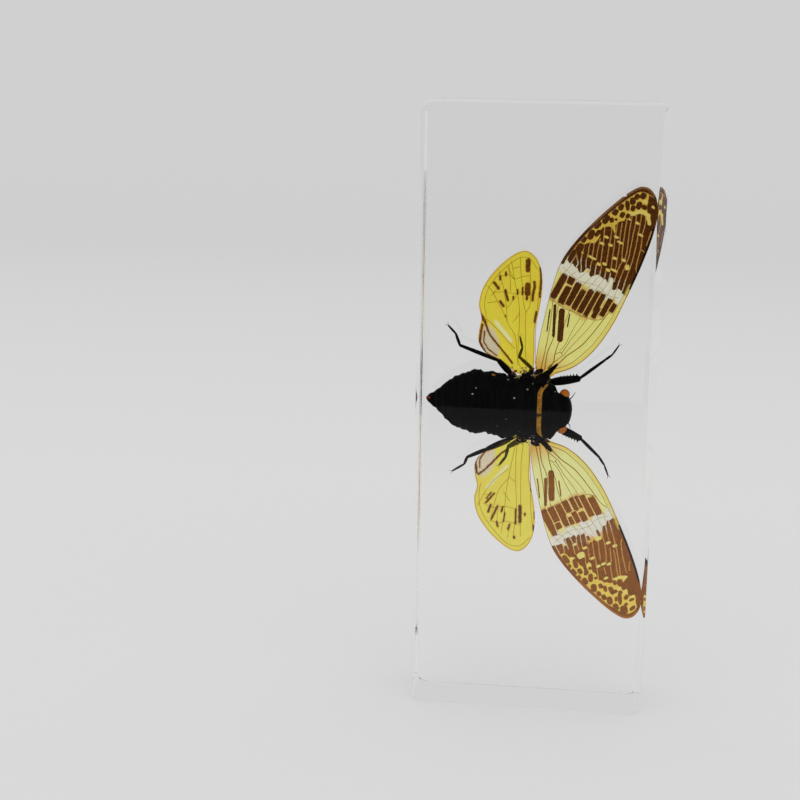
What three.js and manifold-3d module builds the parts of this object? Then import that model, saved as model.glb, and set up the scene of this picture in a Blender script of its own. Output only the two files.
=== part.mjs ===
// A clear resin block, standing on its end, with a spread cicada cast in the middle of it.
// Millimetres. X runs across the block, Y from its front face to its back face, Z up.
// The resin is parted in two at the middle of its depth, and each half has an open pocket for the insect.
import * as THREE from "three";
import { mergeVertices } from "three/addons/utils/BufferGeometryUtils.js";
import Module from "manifold-3d";

const wasm = await Module();
wasm.setup();

// Block
const blockWidth = 58;
const blockDepth = 20;
const blockHeight = 150;
const edgeRadius = 1.2;
const cornerRadius = 3.2;
const edgeSteps = 3;
const cornerFineness = 2;
const partingY = 0;

// Insect frame: +X forward along the body, +Y to the insect's left, +Z to its back, origin in the wing plane
const wingPlaneY = -1.5;
const bodyAxisHeight = 75.5;

// Clearances
const jointGap = 0.3;
const pocketGap = 0.55;
const wingRoom = { grow: 0.6, above: 1.0, below: 2.5 };

// Body form from head to tail: x, left side, right side, height of the back, depth of the belly
const bodyForm = [
  [8.9, 1.6, -0.8, 0.3, -2.2],
  [8.6, 2.8, -2.0, 0.9, -3.0],
  [8.0, 3.7, -3.1, 1.5, -3.6],
  [7.2, 4.3, -3.9, 1.9, -4.0],
  [5.6, 4.7, -4.9, 2.3, -4.1],
  [4.6, 6.2, -6.5, 2.8, -4.2],
  [3.8, 6.8, -7.1, 3.1, -4.3],
  [2.2, 7.0, -6.8, 3.5, -4.6],
  [0.0, 6.6, -6.2, 3.8, -4.9],
  [-2.0, 7.3, -6.4, 4.3, -5.1],
  [-5.0, 8.0, -6.6, 4.5, -5.2],
  [-8.0, 8.8, -7.0, 4.1, -5.0],
  [-11.0, 9.4, -6.5, 3.6, -4.8],
  [-12.4, 9.3, -6.0, 3.5, -4.8],
  [-14.5, 9.9, -6.4, 3.6, -4.9],
  [-17.0, 8.9, -5.8, 3.3, -4.7],
  [-20.0, 7.8, -4.6, 2.7, -4.2],
  [-22.0, 6.3, -2.9, 2.0, -3.6],
  [-24.0, 4.4, -1.0, 1.1, -2.9],
  [-26.0, 3.1, 0.6, 0.1, -2.1],
  [-26.9, 2.4, 1.7, -0.6, -1.4],
];
const headRear = 5.5;
const pronotumRear = 0.4;
const thoraxRear = -9.4;
const bodySides = 16;
const roomSides = 10;
const roomLegSides = 4;
const collarLength = 1.5;
const collarRise = 0.3;
const collarEdgeRise = 0.1;
const tergiteEnds = [-11.6, -13.8, -16.0, -18.2, -20.3, -22.3, -24.2];
const tergiteStep = 0.22;

// Eyes and beak
const eyeRadius = 1.25;
const eyeFacets = [10, 6];
const eyeCentres = { left: [7.0, 4.3, -0.5], right: [6.6, -4.35, -0.5] };
const beakPath = [[7.2, 0.3, -3.4], [4.6, 0.2, -5.2], [1.2, 0.2, -6.0], [-3.4, 0.3, -6.2]];
const beakRadii = [1.1, 0.75, 0.5];

// Wings, each in its own frame: u outward from the root, v towards the leading edge
const membraneThickness = 0.3;
const outlineFineness = 2;
const veinSides = 4;
const hindwingDrop = 0.8;
const forewingOutline = [
  [-1.6, 1.6], [0.6, 3.0], [4, 5.9], [8, 7.8], [12, 8.8], [18, 9.3], [26, 8.9], [34, 8.2],
  [40, 7.3], [44, 6.3], [47, 5.0], [49.3, 3.2], [50.3, 1.0], [49.8, -0.9], [47.5, -2.7],
  [42, -5.1], [36, -7.1], [30, -8.5], [25.5, -8.9], [20, -8.1], [12, -6.1], [4, -3.7], [0, -2.0],
  [-1.8, -0.4],
];
const hindwingOutline = [
  [-0.6, -1.2], [4, -0.7], [10, -0.8], [14.3, 0.0], [18, 0.5], [21.8, 0.6], [25, 0.1], [27.6, -1.3],
  [29.0, -3.4], [28.6, -5.4], [26.6, -8.3], [23.5, -11.3], [19.6, -13.7], [15.5, -14.5], [12.2, -13.8],
  [9.4, -14.3], [6.4, -14.3], [3.9, -12.6], [2.4, -9.4], [0.3, -6.6], [-1.2, -4.0],
];
const forewingVeins = [
  { radius: 0.45, path: [[-1.2, 1.2], [0.8, 2.8], [4, 5.4], [9, 7.7], [16, 8.7], [26, 8.4], [40, 6.9]] },
  { radius: 0.3, path: [[0.4, 1.2], [5, 3.0], [10, 5.1], [16, 6.5], [22.6, 8.0]] },
  { radius: 0.3, path: [[3.4, 1.2], [8, 0.4], [15.6, -2.2], [22, -2.2], [33, -5.4]] },
  { radius: 0.3, path: [[3.0, 0.9], [8, -1.0], [15.6, -4.8], [27, -6.8]] },
];
const hindwingVeins = [
  { radius: 0.3, path: [[0, -1.6], [6, -1.2], [14, -0.7], [22, 0.0]] },
  { radius: 0.25, path: [[0, -3.2], [12, -4.2], [27, -4.4]] },
  { radius: 0.3, path: [[0.8, -5.6], [4.4, -8.4], [8, -11.2], [11.6, -13.0]] },
];
const wings = [
  { side: "left", turn: 63.4, root: [1.5, 10.0], hindTurn: 90, hindRoot: [0, 10.0] },
  { side: "right", turn: -61.0, root: [0.9, -8.3], hindTurn: -88.5, hindRoot: [-0.3, -7.3] },
];

// A limb's segment: its round ends, its shoulder and its thickest place as shares of its radii and length
const spindleForm = { cap: 0.6, shoulder: 0.75, shoulderPlace: -0.1, thickest: 0.35, neck: 0.2 };
const limbTaper = 0.75;

// Legs, from the hip outwards: each joint's place and each segment's thickest radius
const legSides = 5;
const legs = {
  leg_front_left: {
    joints: [
      [2.4, 2.6, -6.0], [3.6, 6.6, -4.8], [10.4, 8.0, -3.0],
      [16.4, 12.9, -2.6], [18.1, 14.3, -2.4], [19.5, 16.5, -2.2],
    ],
    radii: [1.05, 1.05, 0.4, 0.3, 0.22],
  },
  leg_front_right: {
    joints: [
      [2.6, -2.4, -6.0], [5.2, -4.7, -5.2], [11.3, -7.0, -3.0],
      [16.0, -11.4, -2.6], [17.4, -13.4, -2.4], [18.4, -15.9, -2.2],
    ],
    radii: [1.05, 1.0, 0.4, 0.3, 0.22],
  },
  leg_mid_left: {
    joints: [
      [-1.6, 2.8, -6.1], [-1.8, 7.6, -4.6], [-1.2, 10.0, -3.2],
      [-4.4, 12.9, -2.6], [-3.7, 15.2, -2.4], [-4.3, 17.7, -2.3],
    ],
    radii: [1.0, 0.7, 0.45, 0.36, 0.28],
  },
  leg_mid_right: {
    joints: [
      [-1.6, -2.2, -6.1], [-2.4, -7.6, -4.4], [-6.4, -9.9, -3.0],
      [-6.9, -12.4, -2.6], [-8.4, -14.5, -2.4],
    ],
    radii: [1.0, 0.7, 0.4, 0.34],
  },
  leg_hind_left: {
    joints: [
      [-5.6, 3.0, -6.0], [-6.4, 8.4, -4.6], [-9.4, 11.7, -3.2],
      [-19.0, 15.2, -2.8], [-20.1, 18.1, -2.6], [-21.9, 20.0, -2.5],
    ],
    radii: [1.0, 0.8, 0.5, 0.36, 0.28],
  },
  leg_hind_right: {
    joints: [
      [-5.4, -2.2, -6.0], [-6.4, -8.4, -4.4], [-11.6, -10.7, -3.0],
      [-16.5, -13.0, -2.8], [-17.2, -14.8, -2.6], [-20.0, -16.6, -2.5],
    ],
    radii: [1.0, 0.75, 0.5, 0.36, 0.28],
  },
};

// Finishes
const resinFinish = { color: 0xdfe3e4, roughness: 0.05, metalness: 0, transparent: true, opacity: 0.3 };
const shellFinish = { color: 0x0c0c0d, roughness: 0.35, metalness: 0 };
const eyeFinish = { color: 0xc8551a, roughness: 0.3, metalness: 0 };
const forewingFinish = { color: 0x7a4a1e, roughness: 0.4, metalness: 0 };
const hindwingFinish = { color: 0xd9c832, roughness: 0.4, metalness: 0 };

// A closed surface's corners are merged and its flat triangles dropped, so that it counts as a solid.
function solidOf(geometry) {
  const bare = geometry.clone();
  bare.deleteAttribute("normal");
  bare.deleteAttribute("uv");
  const merged = mergeVertices(bare, 1e-4);
  const corners = merged.index.array;
  const kept = [];
  for (let i = 0; i < corners.length; i += 3) {
    const [a, b, c] = [corners[i], corners[i + 1], corners[i + 2]];
    const isFlat = a === b || b === c || c === a;
    if (!isFlat) kept.push(a, b, c);
  }
  return new wasm.Manifold(new wasm.Mesh({
    numProp: 3,
    vertProperties: Float32Array.from(merged.attributes.position.array),
    triVerts: Uint32Array.from(kept),
  }));
}

function geometryOf(solid) {
  const { vertProperties, triVerts } = solid.getMesh();
  const geometry = new THREE.BufferGeometry();
  geometry.setAttribute("position", new THREE.BufferAttribute(Float32Array.from(vertProperties), 3));
  geometry.setIndex(new THREE.BufferAttribute(Uint32Array.from(triVerts), 1));
  geometry.computeVertexNormals();
  return geometry;
}

function joined(solids) {
  return solids.reduce((whole, solid) => whole.add(solid));
}

function meshOf(name, solid, finish) {
  const mesh = new THREE.Mesh(geometryOf(solid), new THREE.MeshStandardMaterial(finish));
  mesh.name = name;
  return mesh;
}

// The body's section at one place on its length, read off between the two stations beside it.
function sectionAt(x) {
  const last = bodyForm.length - 1;
  const next = Math.min(last, Math.max(1, bodyForm.findIndex((station) => station[0] <= x)));
  const [before, after] = [bodyForm[next - 1], bodyForm[next]];
  const share = THREE.MathUtils.clamp((before[0] - x) / (before[0] - after[0]), 0, 1);
  const [, left, right, back, belly] = before.map((value, i) => THREE.MathUtils.lerp(value, after[i], share));
  return { x, left, right, back, belly };
}

// A closed form through the given sections: a lathe of unit radius whose rings are stretched to fit them.
function loft(sections, grow = 0, sides = bodySides) {
  const lastIndex = sections.length - 1;
  const places = sections.map((section, i) => section.x + (i === 0 ? grow : i === lastIndex ? -grow : 0));
  const profile = places.map((place) => new THREE.Vector2(1, place));
  profile.unshift(new THREE.Vector2(0, places[0]));
  profile.push(new THREE.Vector2(0, places[lastIndex]));
  const form = new THREE.LatheGeometry(profile, sides);
  const spots = form.attributes.position;
  for (let i = 0; i < spots.count; i++) {
    const ring = THREE.MathUtils.clamp((i % profile.length) - 1, 0, lastIndex);
    const { left, right, back, belly } = sections[ring];
    const [across, up] = [spots.getX(i), spots.getZ(i)];
    const middle = (left + right) / 2;
    const halfWidth = (left - right) / 2 + grow;
    const height = up > 0 ? back + grow : grow - belly;
    spots.setXYZ(i, spots.getY(i), middle + across * halfWidth, up * height);
  }
  return solidOf(form);
}

// The body between two places: its own stations with a section at each end.
function bodySections(front, rear) {
  const between = bodyForm.map((station) => station[0]).filter((x) => x < front && x > rear);
  return [front, ...between, rear].map(sectionAt);
}

// A spindle from one joint to the next: a lathe with round ends, thickest a third of the way along.
function spindle(from, to, radius, endRadius, sides) {
  const [start, end] = [new THREE.Vector3(...from), new THREE.Vector3(...to)];
  const axis = end.clone().sub(start);
  const length = axis.length();
  const tip = Math.min(endRadius, length / 3);
  const { cap, shoulder, shoulderPlace, thickest, neck } = spindleForm;
  const form = new THREE.LatheGeometry([
    new THREE.Vector2(0, -radius * cap),
    new THREE.Vector2(radius * shoulder, radius * shoulderPlace),
    new THREE.Vector2(radius, length * thickest),
    new THREE.Vector2(endRadius, length - tip * neck),
    new THREE.Vector2(0, length + tip * cap),
  ], sides);
  const upright = new THREE.Vector3(0, 1, 0);
  const turn = new THREE.Quaternion().setFromUnitVectors(upright, axis.normalize());
  form.applyQuaternion(turn).translate(start.x, start.y, start.z);
  return solidOf(form);
}

function limb(joints, radii, grow = 0, sides = legSides) {
  const segments = radii.map((radius, i) => {
    const endRadius = limbTaper * Math.min(radius, radii[i + 1] ?? radius);
    return spindle(joints[i], joints[i + 1], radius + grow, endRadius + grow, sides);
  });
  return joined(segments);
}

// A wing's outline and veins are turned and moved from the wing's frame to the insect's.
function placeWing(form, turn, root, drop) {
  return form.rotateZ(THREE.MathUtils.degToRad(turn)).translate(root[0], root[1], -drop);
}

function outlineShape(outline, turn, fineness) {
  const flip = -Math.sign(turn);
  const knots = outline.map(([u, v]) => new THREE.Vector3(u, v * flip, 0));
  const edge = new THREE.CatmullRomCurve3(knots, true, "centripetal");
  const spots = edge.getPoints(outline.length * fineness).slice(0, -1);
  return new THREE.Shape(spots.map((spot) => new THREE.Vector2(spot.x, spot.y)));
}

function membrane(outline, turn, root, drop) {
  const shape = outlineShape(outline, turn, outlineFineness);
  const form = new THREE.ExtrudeGeometry(shape, { depth: membraneThickness, bevelEnabled: false });
  form.translate(0, 0, -membraneThickness / 2);
  return solidOf(placeWing(form, turn, root, drop));
}

// The recess for a wing: its outline grown all round, from above the wing to well below it.
function wingRecess(outline, turn, root) {
  const { grow, above, below } = wingRoom;
  const bevel = { bevelSize: grow, bevelThickness: 0, bevelSegments: 0 };
  const form = new THREE.ExtrudeGeometry(outlineShape(outline, turn, 1), { depth: above + below, ...bevel });
  return solidOf(placeWing(form, turn, root, below));
}

function vein({ radius, path }, turn, root, drop) {
  const flip = -Math.sign(turn);
  const route = new THREE.CatmullRomCurve3(path.map(([u, v]) => new THREE.Vector3(u, v * flip, 0)));
  const circle = new THREE.EllipseCurve(0, 0, radius, radius);
  const section = new THREE.Shape(circle.getPoints(veinSides).slice(0, -1));
  const steps = path.length + 1;
  const form = new THREE.ExtrudeGeometry(section, { extrudePath: route, steps });
  return solidOf(placeWing(form, turn, root, drop));
}

function wingSolid(outline, veins, turn, root, drop) {
  const sheet = membrane(outline, turn, root, drop);
  return joined([sheet, ...veins.map((line) => vein(line, turn, root, drop))]);
}

const wholeBody = bodySections(bodyForm[0][0], bodyForm.at(-1)[0]);
const bodyRoom = loft(wholeBody, jointGap + collarRise, roomSides);

function head() {
  const skull = loft(bodySections(bodyForm[0][0], headRear + jointGap));
  const rest = loft(bodySections(headRear, thoraxRear), jointGap, roomSides);
  return skull.add(limb(beakPath, beakRadii)).subtract(rest);
}

function eye(side) {
  const ball = new THREE.SphereGeometry(eyeRadius, ...eyeFacets).translate(...eyeCentres[side]);
  return solidOf(ball).subtract(bodyRoom);
}

// The shield behind the head ends in a raised collar.
function pronotum() {
  const collarFront = pronotumRear + collarLength;
  const shield = loft(bodySections(headRear, pronotumRear));
  const raised = [collarFront, (collarFront + pronotumRear) / 2, pronotumRear].map((x, i) => {
    const { left, right, back, belly } = sectionAt(x);
    const rise = i === 1 ? collarRise : collarEdgeRise;
    return { x, left: left + rise, right: right - rise, back: back + rise, belly };
  });
  return shield.add(loft(raised));
}

function thorax() {
  return loft(bodySections(pronotumRear - jointGap, thoraxRear + jointGap));
}

// Each ring of the abdomen swells towards its rear edge and steps in to the next ring.
function abdomen() {
  const tail = bodyForm.at(-1)[0];
  const edges = [thoraxRear, ...tergiteEnds, tail];
  const sections = [];
  for (let i = 0; i + 1 < edges.length; i++) {
    const { left, right, back, belly } = sectionAt(edges[i]);
    const inset = { left: left - tergiteStep, right: right + tergiteStep, back: back - tergiteStep };
    sections.push({ x: edges[i], ...inset, belly: belly + tergiteStep });
    sections.push(sectionAt(edges[i + 1] + tergiteStep / 2));
  }
  return loft(sections);
}

const insect = new THREE.Group();
insect.position.set(0, wingPlaneY, bodyAxisHeight);
insect.rotation.x = Math.PI / 2;
insect.updateMatrix();

insect.add(meshOf("head", head(), shellFinish));
for (const side of ["left", "right"]) insect.add(meshOf(`eye_${side}`, eye(side), eyeFinish));
insect.add(meshOf("pronotum", pronotum(), shellFinish));
insect.add(meshOf("thorax", thorax(), shellFinish));
insect.add(meshOf("abdomen", abdomen(), shellFinish));
for (const { side, turn, root, hindTurn, hindRoot } of wings) {
  const forewing = wingSolid(forewingOutline, forewingVeins, turn, root, 0).subtract(bodyRoom);
  const hindwing = wingSolid(hindwingOutline, hindwingVeins, hindTurn, hindRoot, hindwingDrop);
  insect.add(meshOf(`forewing_${side}`, forewing, forewingFinish));
  insect.add(meshOf(`hindwing_${side}`, hindwing.subtract(bodyRoom), hindwingFinish));
}
for (const [name, { joints, radii }] of Object.entries(legs)) {
  insect.add(meshOf(name, limb(joints, radii).subtract(bodyRoom), shellFinish));
}

const toBlock = insect.matrix.toArray();

// The room that the body and legs take up in both halves.
function bodyPocket() {
  const rooms = [
    loft(wholeBody, pocketGap + collarRise, roomSides),
    limb(beakPath, beakRadii, pocketGap, roomLegSides),
  ];
  for (const centre of Object.values(eyeCentres)) {
    const ball = new THREE.SphereGeometry(eyeRadius + pocketGap, ...eyeFacets);
    rooms.push(solidOf(ball.translate(...centre)));
  }
  for (const { joints, radii } of Object.values(legs)) {
    rooms.push(limb(joints, radii, pocketGap, roomLegSides));
  }
  return joined(rooms).transform(toBlock);
}

// The four wings lie in the front half alone, in one shallow recess that is open at the parting face.
function wingPocket() {
  const recesses = wings.flatMap(({ turn, root, hindTurn, hindRoot }) => [
    wingRecess(forewingOutline, turn, root),
    wingRecess(hindwingOutline, hindTurn, hindRoot),
  ]);
  return joined(recesses).transform(toBlock);
}

// The face's rounded outline, carried through the depth; its bevel rounds the edges of both faces.
function block() {
  const r = edgeRadius;
  const bend = cornerRadius - r;
  const side = blockWidth / 2 - cornerRadius;
  const [low, high] = [bend, blockHeight - 2 * r - bend];
  const face = new THREE.Shape();
  face.absarc(side, low, bend, -Math.PI / 2, 0);
  face.absarc(side, high, bend, 0, Math.PI / 2);
  face.absarc(-side, high, bend, Math.PI / 2, Math.PI);
  face.absarc(-side, low, bend, Math.PI, 1.5 * Math.PI);
  const bevel = { bevelSize: r, bevelThickness: r, bevelSegments: edgeSteps };
  const form = new THREE.ExtrudeGeometry(face, {
    depth: blockDepth - 2 * r, curveSegments: cornerFineness, ...bevel,
  });
  form.translate(0, r, -(blockDepth / 2 - r)).rotateX(Math.PI / 2);
  return solidOf(form);
}

function halfSpace(direction) {
  const size = 2 * blockHeight;
  const slab = new THREE.BoxGeometry(size, size, size);
  return solidOf(slab.translate(0, partingY + (direction * size) / 2, 0));
}

const hollowBlock = block().subtract(bodyPocket());
const frontHalf = hollowBlock.intersect(halfSpace(-1)).subtract(wingPocket());
const backHalf = hollowBlock.intersect(halfSpace(1));

const part = new THREE.Group();
part.add(meshOf("resin_front", frontHalf, resinFinish));
part.add(meshOf("resin_back", backHalf, resinFinish));
part.add(insect);

export default part;
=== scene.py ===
import bpy
import math
import numpy as np
from mathutils import Matrix


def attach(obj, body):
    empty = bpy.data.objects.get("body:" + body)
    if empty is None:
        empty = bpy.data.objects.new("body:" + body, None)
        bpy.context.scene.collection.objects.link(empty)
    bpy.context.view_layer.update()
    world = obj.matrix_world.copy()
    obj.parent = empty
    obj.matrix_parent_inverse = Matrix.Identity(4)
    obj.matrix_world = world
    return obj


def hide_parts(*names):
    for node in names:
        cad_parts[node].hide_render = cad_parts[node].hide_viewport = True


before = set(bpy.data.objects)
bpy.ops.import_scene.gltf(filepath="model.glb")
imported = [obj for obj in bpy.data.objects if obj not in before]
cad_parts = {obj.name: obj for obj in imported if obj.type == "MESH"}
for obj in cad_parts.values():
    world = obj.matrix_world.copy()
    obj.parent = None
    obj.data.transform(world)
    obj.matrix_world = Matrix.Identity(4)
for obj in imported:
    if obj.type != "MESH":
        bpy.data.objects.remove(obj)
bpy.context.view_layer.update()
mm = 0.001


def putMesh(name, points, faces, material, attributes=None):
    # points (n, 3) in millimetres of the block's frame; faces (m, 4), a triangle repeats its last corner
    mesh = bpy.data.meshes.new(name)
    faces = np.asarray(faces, np.int64)
    isTriangle = faces[:, 2] == faces[:, 3]
    sizes = np.where(isTriangle, 3, 4)
    starts = np.concatenate([[0], np.cumsum(sizes)[:-1]])
    corners = faces.ravel()[(np.arange(4)[None] < sizes[:, None]).ravel()]
    mesh.vertices.add(len(points))
    mesh.vertices.foreach_set("co", (np.asarray(points) * mm).astype(np.float32).ravel())
    mesh.loops.add(len(corners))
    mesh.loops.foreach_set("vertex_index", corners.astype(np.int32))
    mesh.polygons.add(len(faces))
    mesh.polygons.foreach_set("loop_start", starts.astype(np.int32))
    mesh.polygons.foreach_set("loop_total", sizes.astype(np.int32))
    mesh.polygons.foreach_set("use_smooth", np.ones(len(faces), bool))
    mesh.update(calc_edges=True)
    for label, values in (attributes or {}).items():
        layer = mesh.attributes.new(label, "FLOAT", "POINT")
        layer.data.foreach_set("value", np.asarray(values, np.float32).ravel())
    mesh.materials.append(material)
    piece = bpy.data.objects.new(name, mesh)
    bpy.context.scene.collection.objects.link(piece)
    return piece


class Value:
    # wraps a socket, so that a pattern can be written as an expression
    def __init__(self, tree, socket):
        self.tree, self.socket = tree, socket

    def maths(self, operation, *others, clamp=False):
        return self.tree.add("ShaderNodeMath", {"operation": operation, "use_clamp": clamp},
                             dict(enumerate((self,) + others)))

    def __add__(self, other):
        return self.maths("ADD", other)

    def __sub__(self, other):
        return self.maths("SUBTRACT", other)

    def __mul__(self, other):
        return self.maths("MULTIPLY", other)

    def __truediv__(self, other):
        return self.maths("DIVIDE", other)

    def __rsub__(self, other):
        return self.tree.add("ShaderNodeMath", {"operation": "SUBTRACT"}, {0: other, 1: self})

    __radd__ = __add__
    __rmul__ = __mul__

    def clamped(self):
        return self.maths("ADD", 0.0, clamp=True)

    def above(self, edge, softness):
        # 0 below the edge, 1 above it, with a straight ramp of the given width between
        return ((self - (edge - softness / 2)) / softness).clamped()


class Nodes:
    # a node tree and its one method for adding any node
    def __init__(self, owner):
        owner.use_nodes = True
        self.owner = owner
        self.nodes = owner.node_tree.nodes
        self.links = owner.node_tree.links
        self.nodes.clear()

    def add(self, kind, settings=None, inputs=None, output=0):
        node = self.nodes.new(kind)
        for key, value in (settings or {}).items():
            if key == "stops":
                self.setStops(node.color_ramp, value)
            else:
                setattr(node, key, value)
        for key, value in (inputs or {}).items():
            if isinstance(value, Value):
                self.links.new(value.socket, node.inputs[key])
            else:
                node.inputs[key].default_value = value
        return Value(self, node.outputs[output] if node.outputs else None)

    def setStops(self, ramp, stops):
        while len(ramp.elements) < len(stops):
            ramp.elements.new(1.0)
        for element, (place, colour) in zip(ramp.elements, stops):
            element.position, element.color = place, (*colour, 1)


class Finish(Nodes):
    # a material, with the nodes that its patterns use most
    def __init__(self, name):
        super().__init__(bpy.data.materials.new(name))

    def attribute(self, name):
        return self.add("ShaderNodeAttribute", {"attribute_name": name}, output="Fac")

    def place(self):
        return self.add("ShaderNodeTexCoord", output="Object")

    def noise(self, scale, detail=3.0, roughness=0.5):
        return self.add("ShaderNodeTexNoise", {}, {"Vector": self.place(), "Scale": scale, "Detail": detail,
                                                   "Roughness": roughness})

    def mix(self, share, first, second):
        # first + share * (second - first)
        return self.add("ShaderNodeMix", {"data_type": "RGBA"},
                        {0: share, 6: paint(first), 7: paint(second)}, output=2)

    def bump(self, height, strength, distance):
        return self.add("ShaderNodeBump", {}, {"Height": height, "Strength": strength, "Distance": distance})

    def surface(self, **inputs):
        # a Principled shader on the material's output; Base_Color stands for the socket Base Color
        sockets = {key.replace("_", " "): paint(value) for key, value in inputs.items()}
        shader = self.add("ShaderNodeBsdfPrincipled", {}, sockets)
        self.add("ShaderNodeOutputMaterial", {}, {"Surface": shader})
        return self.owner


def paint(value):
    return (*value, 1.0) if isinstance(value, tuple) and len(value) == 3 else value


# a pale table with a rounded front edge, which sweeps up into a wall; its lengths are in metres; it glows by
# itself, painted light that fills the shadow the block casts on it
stage = dict(front=-0.352, frontRadius=0.012, skirt=0.25, back=1.25, sweepRadius=0.55, wallHeight=2.4,
             halfWidth=2.2, drop=0.00003, grey=0.25, topShade=0.905, topBlue=1.008, glow=1.97,
             darkHeight=0.22, darkFrom=0.2, darkReach=0.75, fadeFrom=-0.33, fadeTo=-0.17, frontShadeShare=0.25)


def sweepProfile():
    # a quarter circle down at the front, the flat table, a quarter circle up at the back, the wall
    s = stage
    turn = np.linspace(0, np.pi / 2, 13)
    edge = np.stack([s["front"] - s["frontRadius"] * np.sin(turn),
                     s["frontRadius"] * (np.cos(turn) - 1)], 1)[::-1]
    skirt = np.array([[s["front"] - s["frontRadius"], -s["skirt"]]])
    turn = np.linspace(0, np.pi / 2, 33)
    sweep = np.stack([s["back"] + s["sweepRadius"] * np.sin(turn), s["sweepRadius"] * (1 - np.cos(turn))], 1)
    wall = np.array([[s["back"] + s["sweepRadius"], s["wallHeight"]]])
    return np.concatenate([skirt, edge, sweep, wall]) - [0, s["drop"]]


def makeStage():
    profile = sweepProfile()
    count = len(profile)
    xs = np.array([-stage["halfWidth"], stage["halfWidth"]])
    points = np.stack([np.repeat(xs, count), np.tile(profile[:, 0], 2), np.tile(profile[:, 1], 2)], 1) / mm
    i = np.arange(count - 1)
    faces = np.stack([i, i + count, i + 1 + count, i + 1], 1)
    paper = Finish("paleTable")
    height = paper.add("ShaderNodeSeparateXYZ", {}, {0: paper.place()}, output="Z")
    far = paper.add("ShaderNodeSeparateXYZ", {}, {0: paper.place()}, output="Y")
    # painted shade: it darkens up the wall and backwards, rise = height / darkHeight + (distance - darkFrom)
    # / darkReach
    rise = (height / stage["darkHeight"] + (far - stage["darkFrom"]) / stage["darkReach"]).clamped()
    grey, top = stage["grey"], stage["grey"] * stage["topShade"]
    colour = paper.mix(rise, (grey, grey, grey), (top, top, top * stage["topBlue"]))
    # towards its front edge the table is painted darker, a painted shade that the block's front face mirrors
    # over the insect: share = 1 from fadeTo on, frontShadeShare before fadeFrom
    near = ((far - stage["fadeFrom"]) / (stage["fadeTo"] - stage["fadeFrom"])).clamped()
    colour = paper.mix(near * (1 - stage["frontShadeShare"]) + stage["frontShadeShare"], (0.0, 0.0, 0.0), colour)
    # the table glows in its own colour: painted light, so that the block casts almost no shadow on it
    finish = paper.surface(Base_Color=colour, Roughness=0.9, Specular_IOR_Level=0.0, Emission_Color=colour,
                           Emission_Strength=stage["glow"])
    piece = putMesh("table", points, faces, finish)


room = dict(bright=(0.87, 0.87, 0.87), through=(0.72, 0.72, 0.72), dark=(0.03, 0.03, 0.032))


def makeWorld():
    # a bright room, softer through the resin; what the polished faces mirror of it is dark
    world = Nodes(bpy.data.worlds.new("studio"))
    bpy.context.scene.world = world.owner
    isGlossy = world.add("ShaderNodeLightPath", output="Is Glossy Ray")
    isTransmitted = world.add("ShaderNodeLightPath", output="Is Transmission Ray")
    bright, through, dark = (world.add("ShaderNodeBackground", {}, {"Color": paint(room[key])})
                             for key in ("bright", "through", "dark"))
    lit = world.add("ShaderNodeMixShader", {}, {0: isTransmitted, 1: bright, 2: through})
    choice = world.add("ShaderNodeMixShader", {}, {0: isGlossy * (1 - isTransmitted), 1: lit, 2: dark})
    world.add("ShaderNodeOutputWorld", {}, {"Surface": choice})


lens = dict(place=(8.619, -355.563, 154.037), yaw=-6.819, pitch=12.331, roll=0.933, length=65.87, sensor=36.0)


def makeCamera():
    data = bpy.data.cameras.new("camera")
    data.lens, data.sensor_width, data.clip_start, data.clip_end = lens["length"], lens["sensor"], 0.01, 20.0
    yaw, pitch, roll = (math.radians(lens[key]) for key in ("yaw", "pitch", "roll"))
    forward = np.array([math.sin(yaw) * math.cos(pitch), math.cos(yaw) * math.cos(pitch), -math.sin(pitch)])
    side = np.cross(forward, [0, 0, 1])
    side /= np.linalg.norm(side)
    up = np.cross(side, forward)
    right = math.cos(roll) * side + math.sin(roll) * up
    up = np.cross(right, forward)
    camera = bpy.data.objects.new("camera", data)
    turned = np.eye(4)
    turned[:3, 0], turned[:3, 1], turned[:3, 2] = right, up, -forward
    turned[:3, 3] = np.array(lens["place"]) * mm
    camera.matrix_world = Matrix(turned.tolist())
    bpy.context.scene.collection.objects.link(camera)
    bpy.context.scene.camera = camera


block = dict(width=58.0, depth=20.0, height=150.0, corner=3.2, radius=1.2, footShare=0.05, cornerSteps=16,
             arcSteps=11, support=0.05, bevelWidth=2.1, bevelDepth=3.9, bevelSoft=0.2, taperFrom=30.0,
             taperTo=80.0, lowShare=0.08, sideSteps=48)


def edgeProfiles():
    # rows of [how far inside the outline, how far behind the face]: a quarter circle, and a flat bevel
    # whose two corners are softened by a quadratic bend; each flat stretch starts with a support row
    b = block
    near, soft = b["support"], b["bevelSoft"]
    turn = np.linspace(0, np.pi / 2, b["arcSteps"] + 1)
    arc = b["radius"] * np.stack([1 - np.sin(turn), 1 - np.cos(turn)], 1)
    rounded = np.concatenate([arc[:1] + [near, 0], arc, arc[-1:] + [0, near]])
    first, last = np.array([b["bevelWidth"], 0]), np.array([0, b["bevelDepth"]])
    slope = (last - first) / np.linalg.norm(last - first)
    share = np.linspace(0, 1, (b["arcSteps"] - 1) // 2)[:, None]

    def bend(start, corner, end):
        return (1 - share) ** 2 * start + 2 * share * (1 - share) * corner + share ** 2 * end

    upper = bend(first + [soft, 0], first, first + slope * soft)
    lower = bend(last - slope * soft, last, last + [0, soft])
    bevelled = np.concatenate([upper[:1] + [near, 0], upper, upper[-1:] + slope * near,
                               lower[:1] - slope * near, lower, lower[-1:] + [0, near]])
    return rounded, bevelled


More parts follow.
